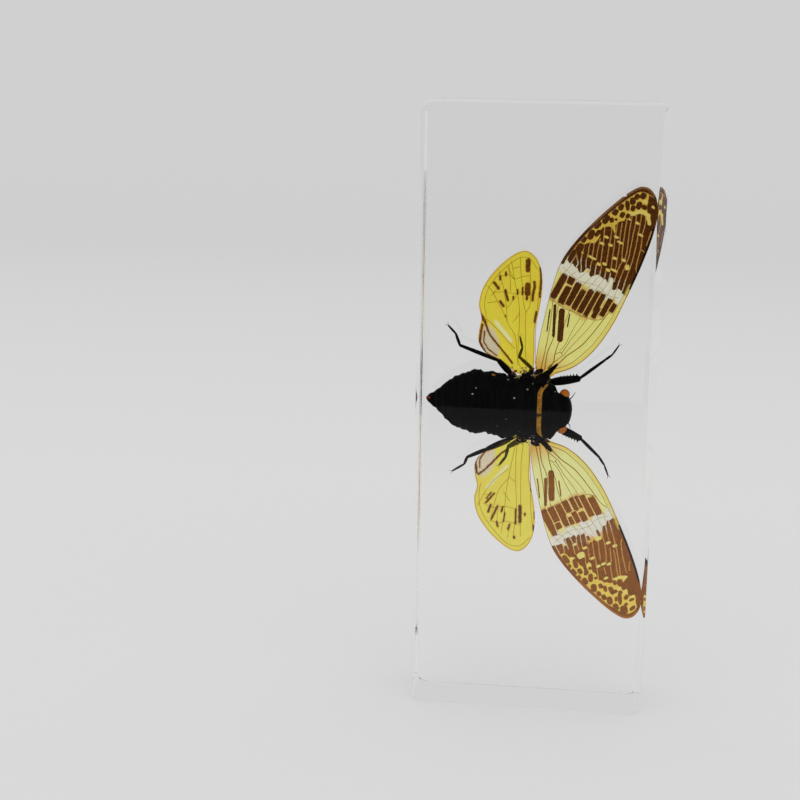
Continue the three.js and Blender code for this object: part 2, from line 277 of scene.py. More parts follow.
def roundedBox():
    # the face's rounded outline in rings from the front face to the back one; all edges are round but the
    # front's right one, which is bevelled and less so lower down, and at the foot they shrink to footShare
    b = block
    turn = np.linspace(0, np.pi / 2, b["cornerSteps"] + 1)
    turn = np.concatenate([turn[:1], turn, turn[-1:]])
    slip = np.zeros(len(turn))
    slip[0], slip[-1] = -b["support"], b["support"]
    turns = np.concatenate([turn - np.pi / 2, turn])
    normal = np.stack([np.cos(turns), np.sin(turns)], 1)
    along = np.stack([-normal[:, 1], normal[:, 0]], 1)
    height = np.repeat([b["corner"], b["height"] - b["corner"]], len(turn))
    middle = np.stack([np.full(len(turns), b["width"] / 2 - b["corner"]), height], 1)
    right = middle + b["corner"] * normal + np.tile(slip, 2)[:, None] * along
    # rows up the straight side, for the bevel's taper
    cut = len(turn)
    heights = np.linspace(right[cut - 1, 1], right[cut, 1], b["sideSteps"] + 2)[1:-1]
    rows = np.stack([np.full(len(heights), right[cut, 0]), heights], 1)
    right = np.concatenate([right[:cut], rows, right[cut:]])
    normal = np.concatenate([normal[:cut], np.tile([1.0, 0.0], (len(heights), 1)), normal[cut:]])
    mirror = np.array([-1, 1])
    outline = np.concatenate([right, right[::-1] * mirror])
    normal = np.concatenate([normal, normal[::-1] * mirror])
    rounded, bevelled = edgeProfiles()
    foot = (1 - (1 - b["footShare"]) * np.maximum(0, -normal[:, 1]))[:, None]
    taper = np.clip((outline[:, 1:] - b["taperFrom"]) / (b["taperTo"] - b["taperFrom"]), 0, 1)
    toSide = np.maximum(0, normal[:, :1]) ** 2 * (b["lowShare"] + (1 - b["lowShare"]) * taper)
    front = (rounded[:, None] + (bevelled - rounded)[:, None] * toSide) * foot
    rear = rounded[::-1, None] * foot
    inside = np.concatenate([front[..., 0], rear[..., 0]])
    behind = np.concatenate([front[..., 1], b["depth"] - rear[..., 1]])
    flat = outline[None] - inside[..., None] * normal[None]
    points = np.stack([flat[..., 0], behind - b["depth"] / 2, flat[..., 1]], -1).reshape(-1, 3)
    rings, count = inside.shape
    low = np.arange(count // 2 - 1)
    lid = np.stack([low, low + 1, count - 2 - low, count - 1 - low], 1)
    faces = gridFaces(rings, count, closed=True)[:, ::-1]
    return points, np.concatenate([faces, lid, lid[:, ::-1] + (rings - 1) * count])


def makeBlock():
    resin = Finish("clearResin")
    points, faces = roundedBox()
    piece = putMesh("resinBlock", points, faces, resin.surface(
        Base_Color=(1.0, 1.0, 1.0), Roughness=0.0, Transmission_Weight=1.0, IOR=1.49))
    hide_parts("resin_front", "resin_back")
    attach(piece, "root")


# the insect's own frame: +X forward along the body, +Y to its left, +Z to its back, and the origin in the
# plane of the forewings
insect = dict(wingPlane=-1.5, axisHeight=75.5)


def toBlock(points):
    # the insect stands on edge in the block: its back faces -Y and its left side is up
    x, y, z = np.moveaxis(np.asarray(points, float), -1, 0)
    return np.stack([x, insect["wingPlane"] - z, insect["axisHeight"] + y], -1)


def curve(knots, perSpan=8, closed=False):
    # centripetal Catmull-Rom: in each span a cubic through its ends, timed by the square root of the
    # distance between the knots
    p = np.asarray(knots, float)
    if closed:
        p = np.concatenate([p[-1:], p, p[:2]])
    else:
        p = np.concatenate([2 * p[:1] - p[1:2], p, 2 * p[-1:] - p[-2:-1]])
    gap = np.maximum(np.sqrt(np.linalg.norm(np.diff(p, axis=0), axis=1)), 1e-6)
    t = np.concatenate([[0], np.cumsum(gap)])
    i = np.repeat(np.arange(1, len(p) - 2), perSpan)
    s = t[i] + np.tile(np.arange(perSpan) / perSpan, len(p) - 3) * (t[i + 1] - t[i])

    def blend(first, second, low, high):
        share = ((s - t[low]) / (t[high] - t[low]))[:, None]
        return first * (1 - share) + second * share

    a1, a2, a3 = (blend(p[i + k - 1], p[i + k], i + k - 1, i + k) for k in (0, 1, 2))
    b1, b2 = blend(a1, a2, i - 1, i + 1), blend(a2, a3, i, i + 2)
    line = blend(b1, b2, i, i + 1)
    return line if closed else np.concatenate([line, p[-2:-1]])


def gridFaces(rows, columns, closed=False):
    # quads between neighbouring rows and columns; closed joins the last column to the first
    number = np.arange(rows * columns).reshape(rows, columns)
    after = np.roll(number, -1, 1) if closed else number[:, 1:]
    here = number if closed else number[:, :-1]
    return np.stack([here[:-1], after[:-1], after[1:], here[1:]], -1).reshape(-1, 4)


coneShare = 0.7  # how far the pointed ends of a tube reach beyond its path, in radii


def tube(path, radii, sides):
    # rings round a path, each square to it, with a cone to a point at both ends
    path = np.asarray(path, float)
    radii = np.broadcast_to(np.asarray(radii, float), len(path))
    along = np.gradient(path, axis=0)
    along /= np.linalg.norm(along, axis=1, keepdims=True)
    guide = np.where(np.abs(along[:, 2:]) > 0.9, [[1.0, 0, 0]], [[0, 0, 1.0]])
    across = np.cross(along, guide)
    across /= np.linalg.norm(across, axis=1, keepdims=True)
    up = np.cross(across, along)
    turn = np.arange(sides) * 2 * np.pi / sides
    ring = np.cos(turn)[None, :, None] * across[:, None] + np.sin(turn)[None, :, None] * up[:, None]
    points = path[:, None] + radii[:, None, None] * ring
    ends = np.stack([path[0] - along[0] * radii[0] * coneShare, path[-1] + along[-1] * radii[-1] * coneShare])
    count = len(path) * sides
    faces = gridFaces(len(path), sides, closed=True)[:, ::-1]
    first = np.arange(sides)
    after = np.roll(first, -1)
    cap = np.stack([np.full(sides, count), first, after, after], 1)
    last = count - sides
    lid = np.stack([np.full(sides, count + 1), last + after, last + first, last + first], 1)
    return np.concatenate([points.reshape(-1, 3), ends]), np.concatenate([faces, cap, lid])


def ball(centre, radii, rows, columns, turn=0.0):
    # an ellipsoid from pole to pole, turned about z
    tilt = np.linspace(0, np.pi, rows + 1)[1:-1, None]
    around = np.arange(columns)[None] * 2 * np.pi / columns
    unit = [np.sin(tilt) * np.cos(around), np.sin(tilt) * np.sin(around), np.cos(tilt) + 0 * around]
    unit = np.concatenate([np.stack(unit, -1).reshape(-1, 3), [[0, 0, 1], [0, 0, -1]]])
    cosine, sine = math.cos(turn), math.sin(turn)
    points = unit * np.asarray(radii) @ np.array([[cosine, sine, 0], [-sine, cosine, 0], [0, 0, 1]])
    points = points + np.asarray(centre)
    count = (rows - 1) * columns
    first = np.arange(columns)
    after = np.roll(first, -1)
    top = np.stack([np.full(columns, count), first, after, after], 1)
    low = count - columns
    bottom = np.stack([np.full(columns, count + 1), low + after, low + first, low + first], 1)
    return points, np.concatenate([gridFaces(rows - 1, columns, closed=True)[:, ::-1], top, bottom])


def together(parts):
    # several (points, faces) as one
    points = np.concatenate([part[0] for part in parts])
    starts = np.cumsum([0] + [len(part[0]) for part in parts[:-1]])
    return points, np.concatenate([part[1] + start for part, start in zip(parts, starts)])


def outward(points, faces):
    # turns every face round if the closed form's signed volume is negative
    a, b, c, d = (points[faces[:, k]] - points[0] for k in range(4))
    volume = np.einsum("ij,ij->", a, np.cross(b, c)) + np.einsum("ij,ij->", a, np.cross(c, d))
    isTriangle = (faces[:, 2] == faces[:, 3])[:, None]
    return faces if volume > 0 else np.where(isTriangle, faces[:, [2, 1, 0, 0]], faces[:, ::-1])


def addPiece(name, parts, finish, replaced=(), labels=None):
    # the parts as one mesh in the block, attached to its body, with the nodes that it replaces hidden
    placed = [toBlock(part[0]) for part in parts]
    points, faces = together([(points, outward(points, part[1])) for points, part in zip(placed, parts)])
    piece = putMesh(name, points, faces, finish, attributes=labels)
    if replaced:
        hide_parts(*replaced)
    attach(piece, "root")
    return piece


def lineDistance(points, line):
    # the shortest distance from each point to a line of straight stretches
    line = np.asarray(line, float)
    start, step = line[:-1], np.diff(line, axis=0)
    length = np.maximum((step ** 2).sum(1), 1e-12)
    best = np.full(len(points), 1e9)
    for a, d, squared in zip(start, step, length):
        share = np.clip((points - a) @ d / squared, 0, 1)
        best = np.minimum(best, np.hypot(*(points - a - share[:, None] * d).T))
    return best


def insideOf(points, outline):
    # distance to a closed outline, positive inside; inside where a ray crosses it an odd number of times
    outline = np.asarray(outline, float)
    after = np.roll(outline, -1, 0)
    odd = np.zeros(len(points), bool)
    for (x1, y1), (x2, y2) in zip(outline, after):
        crosses = (y1 > points[:, 1]) != (y2 > points[:, 1])
        odd ^= crosses & (points[:, 0] < (x2 - x1) * (points[:, 1] - y1) / (y2 - y1 + 1e-12) + x1)
    away = lineDistance(points, np.concatenate([outline, outline[:1]]))
    return np.where(odd, away, -away)


def ovals(points, cells, corner):
    # the greatest of (1 - scaled radius) * half width over cells [u, v, half length, half width, turn];
    # scaled radius = (a ** power + b ** power) ** (1 / power), which is squarer the larger the corner
    best = np.full(len(points), -9.0)
    for u, v, long, wide, turn in cells:
        cosine, sine = math.cos(math.radians(turn)), math.sin(math.radians(turn))
        p, q = points[:, 0] - u, points[:, 1] - v
        a, b = np.abs(p * cosine + q * sine) / long, np.abs(q * cosine - p * sine) / wide
        power = 2 + 2 * corner
        best = np.maximum(best, (1 - (a ** power + b ** power) ** (1 / power)) * min(long, wide))
    return best


def streaks(points, marks):
    # the greatest of (half width - distance) over marks [half width, u1, v1, u2, v2, ...]
    best = np.full(len(points), -9.0)
    for mark in marks:
        line = np.reshape(mark[1:], (-1, 2))
        best = np.maximum(best, mark[0] - lineDistance(points, line))
    return best


def softBand(values, low, high, soft):
    # 1 between low and high, falling to 0 over the width soft on both sides
    rise = np.clip((values - low) / soft + 0.5, 0, 1)
    fall = np.clip((high - values) / soft + 0.5, 0, 1)
    return np.minimum(rise, fall)


wingForm = dict(thickness=0.12, rimShare=0.35, pillow=0.05, pillowReach=0.45, hindDrop=0.8, veinSides=6,
                veinSpan=5, crowding=0.045, inset=0.02)
wingPlaces = {
    "left": dict(turn=63.4, root=(1.5, 10.0), hindTurn=90.0, hindRoot=(0.0, 10.0)),
    "right": dict(turn=-61.0, root=(0.9, -8.3), hindTurn=-88.5, hindRoot=(-0.3, -7.3)),
}


def placeWing(points, turn, root, drop):
    # (u outward, v forward, w towards the back) to the insect's frame
    angle, flip = math.radians(turn), -math.copysign(1, turn)
    u, v, w = points[..., 0], points[..., 1] * flip, points[..., 2]
    x = root[0] + u * math.cos(angle) - v * math.sin(angle)
    y = root[1] + u * math.sin(angle) + v * math.cos(angle)
    return np.stack([x, y, w - drop], -1)


def wingGrid(outline, rows, columns, nick=None):
    # columns run from the root to the tip, rows from the hind edge to the leading edge at each column
    edge = curve(outline, 16, closed=True)
    tip, root = edge[:, 0].argmax(), edge[:, 0].argmin()
    order = np.roll(edge, -root, 0)
    cut = (tip - root) % len(edge)
    lead, hind = order[:cut + 1], np.concatenate([order[cut:], order[:1]])[::-1]
    share = np.linspace(0, 1, columns)
    share = share - wingForm["crowding"] * np.sin(2 * np.pi * share)
    u = edge[root, 0] + wingForm["inset"] + share * (edge[tip, 0] - edge[root, 0] - 2 * wingForm["inset"])
    high, low = np.interp(u, lead[:, 0], lead[:, 1]), np.interp(u, hind[:, 0], hind[:, 1])
    if nick:
        low = low + nick[1] * np.exp(-((u - nick[0]) / nick[2]) ** 2)
    t = np.linspace(0, 1, rows)[:, None]
    flat = np.stack([np.broadcast_to(u, (rows, columns)), low + t * (high - low)], -1)
    return flat, edge


def sheet(flat, near):
    # the same grid twice, half the thickness above and below a relief, joined round its thinner edge;
    # relief = pillow * (1 - exp(-(distance from the nearest vein / pillowReach) ** 2))
    rows, columns = flat.shape[:2]
    away = near.reshape(rows, columns) / wingForm["pillowReach"]
    relief = wingForm["pillow"] * (1 - np.exp(-away ** 2))
    rim = np.full((rows, columns), wingForm["rimShare"])
    rim[1:-1, 1:-1] = 1.0
    half = rim * wingForm["thickness"] / 2
    top = np.concatenate([flat, (relief + half)[..., None]], -1).reshape(-1, 3)
    under = np.concatenate([flat, (relief - half)[..., None]], -1).reshape(-1, 3)
    face = gridFaces(rows, columns)
    count = rows * columns
    number = np.arange(count).reshape(rows, columns)
    loop = np.concatenate([number[0, :-1], number[:-1, -1], number[-1, :0:-1], number[:0:-1, 0]])
    after = np.roll(loop, -1)
    wall = np.stack([loop, loop + count, after + count, after], 1)
    return np.concatenate([top, under]), np.concatenate([face, face[:, ::-1] + count, wall])


def veinTubes(veins):
    # veins [tone, radius at the root, radius at the end, u1, v1, ...] as tubes that lie in the membrane
    parts, tones = [], []
    for tone, first, last, *spots in veins:
        flat = curve(np.reshape(spots, (-1, 2)), wingForm["veinSpan"])
        path = np.concatenate([flat, np.zeros((len(flat), 1))], 1)
        parts.append(tube(path, np.linspace(first, last, len(path)), wingForm["veinSides"]))
        tones.append(np.full(len(parts[-1][0]), tone))
    return parts, np.concatenate(tones)


# forewing, in millimetres from its root: u outward, v towards the leading edge
forewing = dict(
    outline=[
        (-1.6, 1.6), (0.6, 3.0), (4, 5.9), (8, 7.8), (12, 8.8), (18, 9.3), (26, 8.9), (34, 8.2),
        (40, 7.3), (44, 6.3), (47, 5.0), (49.3, 3.2), (50.3, 1.0), (49.8, -0.9), (47.5, -2.7), (42, -5.1),
        (36, -7.1), (30, -8.5), (25.5, -8.9), (20, -8.1), (12, -6.1), (4, -3.7), (0, -2.0), (-1.8, -0.4),
    ],
    rows=188, columns=250, lineHalf=0.12, lineTaper=0.8, branchHalf=0.42, borderWidth=0.75, cellGrowth=0.18,
    zoneGrowth=0.12, barLength=0.72, barGrowth=0.2, bandLineHalf=0.12, bandGround=0.3, rimHalf=0.14,
    tipBorder=0.5, tipFrom=36.0, veinLow=(0.93, 0.84, 0.6), veinHigh=(168, 122, 46),
    # every vein is [tone, radius at the root, radius at the end, u1, v1, u2, v2, ...]; the fine ones across
    # the white band share their first three values
    bandVein=(0.35, 0.07, 0.06),
    bandVeins=[
        (22.8, 6.5, 25, 6.1, 26.5, 6.0), (23, 4.7, 25, 4.6, 27, 4.4), (23, 2.9, 25, 3.2, 27, 3.3),
        (23, 1.5, 25, 1.8, 27, 2.0), (23, -0.2, 25, 0.3, 27, 0.7), (22.5, -1.7, 25, -1.0, 26.6, -0.5),
        (23, -3.8, 25, -2.8, 26.6, -2.2), (23, -5.8, 25, -4.6, 26.4, -4.0),
        (23.4, -7.1, 25, -6.6, 26.4, -6.4),
    ],
    # one vein along the band and two along the leading edge
    longVeins=[
        (0.35, 0.06, 0.06, 24.2, 7.3, 23.6, 4.6, 24.4, 2.0, 24.0, -0.6, 23.4, -3.0, 24.0, -6.0,
         24.4, -7.8),
        (0.8, 0.11, 0.08, 1.0, 2.95, 4, 5.75, 8, 7.65, 12, 8.65, 18, 9.15, 26, 8.75, 28, 8.55),
        (0.6, 0.09, 0.06, 1.6, 2.2, 4.4, 4.75, 8.4, 6.5, 12, 7.5, 18, 8.2, 22, 8.1, 26, 8.05),
    ],
    # the pale root's veins
    rootVeins=[
        (0.8, 0.16, 0.09, 0.4, 1.5, 2, 2, 3.5, 2.5, 6, 3.3, 8, 4.3, 10, 5.2, 12, 5.7, 14, 6.1, 16, 6.4,
         18, 6.7, 20, 7, 22, 7.8),
        (0.75, 0.09, 0.06, 5.5, 2.6, 7, 2.75, 10, 3.5, 12, 4.0, 14, 4.5, 16.6, 4.95),
        (0.75, 0.09, 0.06, 5.8, 1.9, 8, 2.1, 10, 2.25, 12, 2.6, 14, 2.9, 16.4, 3.1),
        (0.75, 0.08, 0.06, 6.2, 1.2, 8, 1.6, 12, 1.5, 16.2, 1.6),
        (0.8, 0.14, 0.08, 0.2, 1.1, 3.2, 1.2, 5, 0.6, 7.5, 0.1, 10, -0.2, 12.5, -0.9, 16.2, -1.5),
        (0.8, 0.13, 0.08, 0.3, 0.3, 4.6, -1.2, 8.5, -1.7, 12, -3.2, 16, -4.4),
        (0.8, 0.12, 0.08, 0.1, -0.6, 5, -2.0, 10, -3.6, 16.2, -6.1),
        (0.8, 0.10, 0.08, 3.0, 1.3, 4.6, 2.0, 5.6, 2.3, 6.0, 1.6, 5.0, 0.6),
    ],
    crossVeins=[
        (0.5, 0.10, 0.10, 18.2, 6.6, 17.0, 5.2, 16.5, 3.5, 16.2, 1.0, 16.2, -1.0, 15.9, -3.0, 16.2, -5.0,
         16.3, -7.0),
    ],
)

hindwing = dict(
    outline=[
        (-0.6, -1.2), (4, -0.7), (10, -0.8), (14.3, 0), (18, 0.5), (21.8, 0.6), (25, 0.1), (27.6, -1.3),
        (29, -3.4), (28.6, -5.4), (26.6, -8.3), (23.5, -11.3), (19.6, -13.7), (15.5, -14.5),
        (12.2, -13.8), (9.4, -14.3), (6.4, -14.3), (3.9, -12.6), (2.4, -9.4), (0.3, -6.6), (-1.2, -4.0),
    ],
    rows=110, columns=150, rimWidth=0.3, veinRadius=0.065, veinTone=0.35, streak=(226, 222, 170),
    rim=(186, 138, 44), halo=(176, 128, 36), spot=(104, 60, 16), veinLow=(214, 190, 80),
    veinHigh=(150, 112, 40),
)


def shade(red, green, blue, light=1.0):
    # display numbers 0..255 to the linear amounts that a surface needs under the given light
    amounts = np.array([red, green, blue]) / 255
    amounts = np.where(amounts < 0.04045, amounts / 12.92, ((amounts + 0.055) / 1.055) ** 2.4) / light
    return tuple(float(amount) for amount in np.minimum(amounts, 0.99))


# marks of the two forewings; shift is added to every v; ovals are [u, v, half length, half width, turn],
# cells [u from, u to, v from, v to], lines and outlines u, v, u, v, ...
forewingMarks = {
    "left": dict(
        shift=0.0, nick=(46.2, 0.5, 0.25), whiteBand=(23.0, 27.2), brown=(84, 46, 14),
        lineGold=(196, 144, 62), zoneGold=(204, 172, 72), blotchGold=(212, 192, 100), pale=(238, 214, 128),
        white=(226, 224, 196), edging=(134, 98, 60),
        lines=[
            (31.5, 8.1, 32.2, 7.5, 33.5, 7, 36.9, 6.15, 39.3, 5.15, 40.5, 4.7, 42.5, 4.2, 44.3, 3.4),
            (25.8, 7.25, 28, 6.82, 30, 6.42, 32, 6.1, 34, 5.7, 37, 4.85, 39, 4.15, 41.5, 3.3, 44, 2.4),
            (25.6, 5.95, 28, 5.4, 30, 5.15, 32, 4.9, 34, 4.6, 37, 3.6, 40, 2.6, 42, 2, 43.6, 1.2),
            (32.9, 4.15, 35, 3.55, 38, 2.3, 40, 1.5, 42.6, 0.6),
            (27.3, 4.4, 30, 3.8, 32.2, 3.72, 34, 2.8, 36, 1.95, 38, 1.15, 40, 0.4, 41.4, -0.1),
            (29.9, 3.3, 31, 2.9, 32.5, 2.35, 34, 1.85, 35.8, 1.1, 38, 0.1, 40.2, -0.7),
            (29.6, 2.3, 30.5, 1.9, 31.8, 1.35, 33.5, 0.75, 35, 0.15, 36.3, -0.45, 38, -1, 39.5, -1.6),
            (30.1, 0.75, 31.5, 0.2, 33, -0.35, 34.3, -0.85, 36, -1.4, 37.5, -2, 38.6, -2.6),
            (29.3, -0.5, 30.5, -0.9, 32, -1.5, 33.5, -2.1, 34.5, -2.5, 36, -3.2, 37.8, -3.9),
            (29.9, -1.9, 31, -2.3, 32.5, -2.8, 34.6, -3.5), (29.9, -3, 31, -3.4, 32.5, -4, 33.4, -4.4),
            (27, -3.1, 28.3, -3.8, 29.8, -4.1, 31.3, -4.7, 32.8, -5.1),
            (25.5, -3.6, 26.6, -4.1, 27.5, -4.8, 29, -5.3, 30.5, -5.7, 31.8, -6.1),
            (26.2, 3.35, 27.5, 3, 28.6, 2.7), (26.4, 2.1, 28, 1.65, 29, 1.25),
            (26.6, 0.75, 28, 0.35, 29.1, 0), (26.2, -0.4, 27, -0.6, 28, -1, 28.8, -1.3),
            (26.8, -1.9, 28, -2.35, 29.3, -2.7),
            (25.9, -6.7, 27.5, -6.65, 28.6, -6.6, 29.2, -7, 29.6, -7.4),
            (25.6, -5.2, 26.8, -5.1, 27.5, -5.6, 28.1, -6.2, 28.6, -6.55),
            (25.5, -8.1, 28, -7.95, 30, -7.6, 32, -7.3, 34, -6.8, 36, -6.15, 38, -5.5, 40, -4.75,
             42, -3.95, 44, -3.15, 46, -2.15, 47.5, -1.3, 48.4, -0.7, 48.9, 0.3, 49, 1.5, 48.9, 2.7,
             48.4, 3.9, 47.9, 4.6),
            (36.6, 7.4, 36.9, 6.3), (38.3, 6.9, 40, 6.6, 41.7, 6.3),
        ],
        branches=[(43.1, 5, 44, 4.2, 44.7, 3.9, 44.8, 2.5, 44.3, 1.4, 43.4, 0.7, 42.9, -0.2)],
        blotches=[
            (29.5, 3.15, 0.38, 0.75, 0), (28.9, 1.8, 0.45, 0.4, 0), (29.8, 0.4, 0.45, 0.4, 0),
            (29.1, -0.8, 0.45, 0.4, 0), (29.7, -2.95, 0.38, 0.95, 0), (26.4, -2.3, 0.45, 0.35, 0),
            (31.6, 5.5, 0.9, 0.35, -48), (32.7, 3.9, 0.45, 0.38, 0), (32.1, 1.8, 0.45, 0.38, 0),
            (36, 1.15, 0.38, 0.6, 0), (34.4, -0.6, 0.42, 0.38, 0), (36.7, -0.3, 0.42, 0.38, 0),
            (33.8, -2.5, 0.42, 0.38, 0), (35.6, -2.3, 0.42, 0.38, 0), (39.8, 4.5, 0.38, 0.62, 0),
            (41.9, 2.4, 0.42, 0.38, 0), (41.8, 0.3, 0.28, 0.25, 0), (29.7, -5.6, 0.28, 0.25, 0),
            (46.9, 4, 0.45, 0.38, 0), (47.2, 1.7, 0.45, 0.38, 0),
        ],
        zone=(31.4, -7.5, 31.5, -6.3, 32.6, -5.2, 33, -4, 34, -3.8, 35.3, -3.8, 36.3, -4.5, 37.3, -4.1,
              38, -3.2, 38.3, -2.2, 37.2, -1.1, 37.8, -1.1, 39, -1.9, 39.8, -1.6, 40.3, -1.4, 40.9, -0.5,
              41.5, -0.6, 41.6, 0.3, 42.6, 0.2, 43.3, 0.9, 44, 1.2, 44.2, 2, 44.3, 2.9, 43.3, 4.4,
              43, 5.1, 43.6, 4.6, 44.8, 4, 45.3, 3.1, 46.3, 2.5, 47, 2.2, 48.5, 1.8, 48.9, 1.5, 48.9, 0.3,
              48.2, -0.9, 47, -1.6, 45.8, -2.3, 44.2, -3.1, 42.5, -3.8, 41, -4.3, 39.5, -4.9, 38, -5.4,
              36, -6.1, 34, -6.8, 32.5, -7.3),
        zoneCells=[
            (32.6, -6.75, 0.72, 0.5, 0), (34.4, -5.8, 1.15, 0.65, -5), (37.1, -5.5, 0.95, 0.5, 12),
            (39.2, -4.45, 1.05, 0.62, 5), (41.7, -3.4, 0.68, 0.6, 0), (43.4, -2.75, 0.72, 0.5, 0),
            (44.45, -1.65, 1.1, 0.42, -35), (45.9, -1.05, 0.75, 0.6, -30), (47.25, -0.65, 0.6, 0.48, 0),
            (48.1, 0.5, 0.68, 0.62, 0), (35.4, -4.6, 0.8, 0.4, 5), (39.7, -3.2, 0.52, 0.42, -35),
            (41.95, -1.6, 0.62, 0.48, 0), (42.3, -0.35, 0.5, 0.4, 0), (44.45, -0.2, 0.62, 0.42, -20),
            (45.65, 0.7, 0.85, 0.52, -10), (45.9, 2, 0.45, 0.62, 0), (40.3, -2.35, 0.18, 0.22, 0),
            (27.9, -7.35, 1.45, 0.55, -3), (30.2, -6.6, 1.25, 0.7, 0),
        ],
        apicalEdge=(25.4, 9.6, 25.4, 8.5, 25.6, 7.4, 26, 7, 26.2, 6, 25.4, 5.5, 25.3, 4.9, 26.8, 4.4,
                    27.7, 4, 27.8, 3.2, 26.2, 3.1, 26.8, 2.4, 26.5, 1.9, 26.8, 0.9, 26.8, 0.2, 26.2, -0.5,
                    25.5, -1, 26, -1.8, 27, -2.2, 26.9, -2.9, 25.8, -3, 25.1, -3.8, 25.9, -4.8,
                    25.8, -5.4, 26.3, -6.2, 26, -7, 26.6, -8, 26.6, -10),
        cells=[
            (18.6, 23, 5.1, 6.4), (17.2, 19.8, 3.8, 4.9), (18.8, 23.3, 3.3, 4.3), (16.7, 23.2, 1.9, 2.9),
            (16.8, 22.9, 0.2, 1.4), (16.8, 21.9, -1.4, -0.3), (17, 22.9, -3.3, -2),
            (16.6, 20.9, -5, -3.2), (21.7, 23.2, -5.6, -4), (16.8, 23.1, -7.2, -5.9),
            (20.5, 22.5, 6.7, 7.7),
        ],
        bandLines=[
            (18, 6.58, 23.2, 6.58), (16.6, 5, 23.2, 5.03), (16.4, 3.12, 23.4, 3.08),
            (16.4, 1.65, 23.2, 1.65), (16.4, -0.05, 23.2, -0.05), (16.4, -1.7, 23.2, -1.7),
            (16.4, -3.3, 20.9, -3.5, 23.4, -3.65), (16.4, -5.45, 20.9, -5.45, 23.4, -5.75),
            (21.3, -3.5, 21.3, -5.6),
        ],
        streaks=[(0.72, 8.8, -0.1, 12, -1.6, 15, -3.0), (0.36, 8.8, -1.9, 15.4, -5.1),
                 (0.16, 9, -3.8, 14, -5.7), (0.16, 12.3, 0, 15.2, -1)],
    ),
    "right": dict(
        shift=0.67, nick=None, whiteBand=(22.7, 26.6), brown=(138, 82, 28), lineGold=(214, 166, 82),
        zoneGold=(220, 190, 88), blotchGold=(226, 206, 118), pale=(250, 224, 146), white=(232, 230, 206),
        edging=(160, 104, 48),
        lines=[
            (30.9, 6.9, 31.6, 6.3, 33, 5.8, 35, 5.1, 37, 4.6, 39.3, 4.1), (37, 6.1, 38, 5.4, 39, 5),
            (25.2, 6.1, 27, 5.85, 29, 5.45, 30.8, 5, 33, 4.5, 36, 3.6, 39, 2.5),
            (25.9, 4.9, 28, 4.35, 29.7, 3.95), (32.6, 3.85, 35, 3.2, 37, 2.4, 38.9, 1.9),
            (31.8, 3.2, 33.5, 2.6, 35, 2),
            (27, 3.1, 29, 2.85, 30.9, 2.4, 32, 1.95, 33.5, 1.35, 34.6, 0.8),
            (28.7, 1.5, 30, 1, 32, 0.3, 33.6, -0.3),
            (28.3, 0.1, 30, -0.5, 31.5, -1, 33, -1.3, 34.2, -1.7), (25.4, -0.6, 27, -0.9, 28.4, -1.3),
            (29.4, -1.6, 31, -2.2, 32.3, -2.6), (25.3, -1.8, 27, -2.3, 28.6, -2.8),
            (30.5, -3.1, 31.8, -3.5, 33, -4), (25.3, -2.9, 26.6, -3.4, 27.3, -3.6, 29, -3.9),
            (24.8, -4.4, 26.5, -4.4, 27.8, -4.8, 29.5, -5.2), (24.6, -5.7, 26, -5.9, 27.5, -6.1),
            (26.3, -6.9, 27.8, -7.3), (36, 1.3, 38, 0.6, 39, 0.3), (35.6, -0.3, 37.5, -0.7),
            (35, -1.9, 36.6, -2.5, 38, -2.9),
            (25.3, -8.6, 28, -8.6, 30.5, -8.4, 33, -7.9, 36, -7, 38.5, -6.1, 40.5, -5.4, 42.6, -4.6,
             44.5, -3.8, 46, -2.8, 47.2, -2.1, 48.6, -1.3, 49, -0.4, 49.1, 0.6, 48.9, 1.6, 48.2, 2.9,
             47.4, 4),
        ],
        branches=[],
        blotches=[
            (31.7, 4.6, 0.5, 0.42, 0), (30.3, 3.5, 0.5, 0.42, 0), (28.2, 1.8, 0.8, 0.65, 0),
            (35.3, 1.2, 0.45, 0.4, 0), (34.7, 0, 0.45, 0.4, 0), (34.7, -1.4, 0.45, 0.4, 0),
            (32.2, -1.8, 0.45, 0.4, 0), (29, -2.3, 0.45, 0.4, 0), (30.3, -4, 1.1, 0.8, 0),
            (27.1, -4.1, 0.45, 0.4, 0), (33.4, -3.4, 0.45, 0.4, 0), (38.3, -1.1, 0.45, 0.4, 0),
            (39.5, 0.7, 0.4, 0.4, 0), (39.5, 1.9, 0.4, 0.5, 0), (40.2, 3.2, 0.45, 0.5, 0),
            (42.2, 0.6, 0.4, 0.4, 0), (43.6, 1.5, 0.45, 0.4, 0), (45.5, 2.7, 0.45, 0.4, 0),
            (26.1, -6.5, 0.4, 0.35, 0), (30.2, -6.3, 0.45, 0.4, 0),
        ],
        zone=(28, -8.6, 27.8, -7.6, 28.6, -7.1, 29.5, -6.9, 29.8, -6, 30.6, -5.6, 32.4, -5.4, 33.2, -4.9,
              34.2, -5.1, 35.3, -5.7, 35.6, -5.2, 35.2, -4.2, 33.6, -4.2, 32.9, -3.6, 32.7, -2.9,
              33.6, -2.8, 34.2, -3, 35.4, -3.4, 36, -2.9, 36.9, -2.9, 38, -3.1, 38.3, -2.4, 39.2, -2,
              39.4, -1.3, 39.9, -0.8, 40, -0.1, 39.2, 0.4, 39.1, 1, 39.2, 2.2, 39.8, 3.6, 40.2, 3.8,
              41.2, 2.2, 42, 1.2, 43, 1.2, 43, 2.4, 44.3, 2, 45, 1.9, 45.2, 3.3, 46.2, 3.2, 47.2, 2.7,
              48.2, 2.5, 48.9, 1.6, 49.1, 0.6, 49, -0.4, 48.6, -1.3, 47.2, -2.1, 46, -2.8, 44.5, -3.8,
              42.6, -4.6, 40.5, -5.4, 38.5, -6.1, 36, -7, 33, -7.9, 30.5, -8.4),
        zoneCells=[
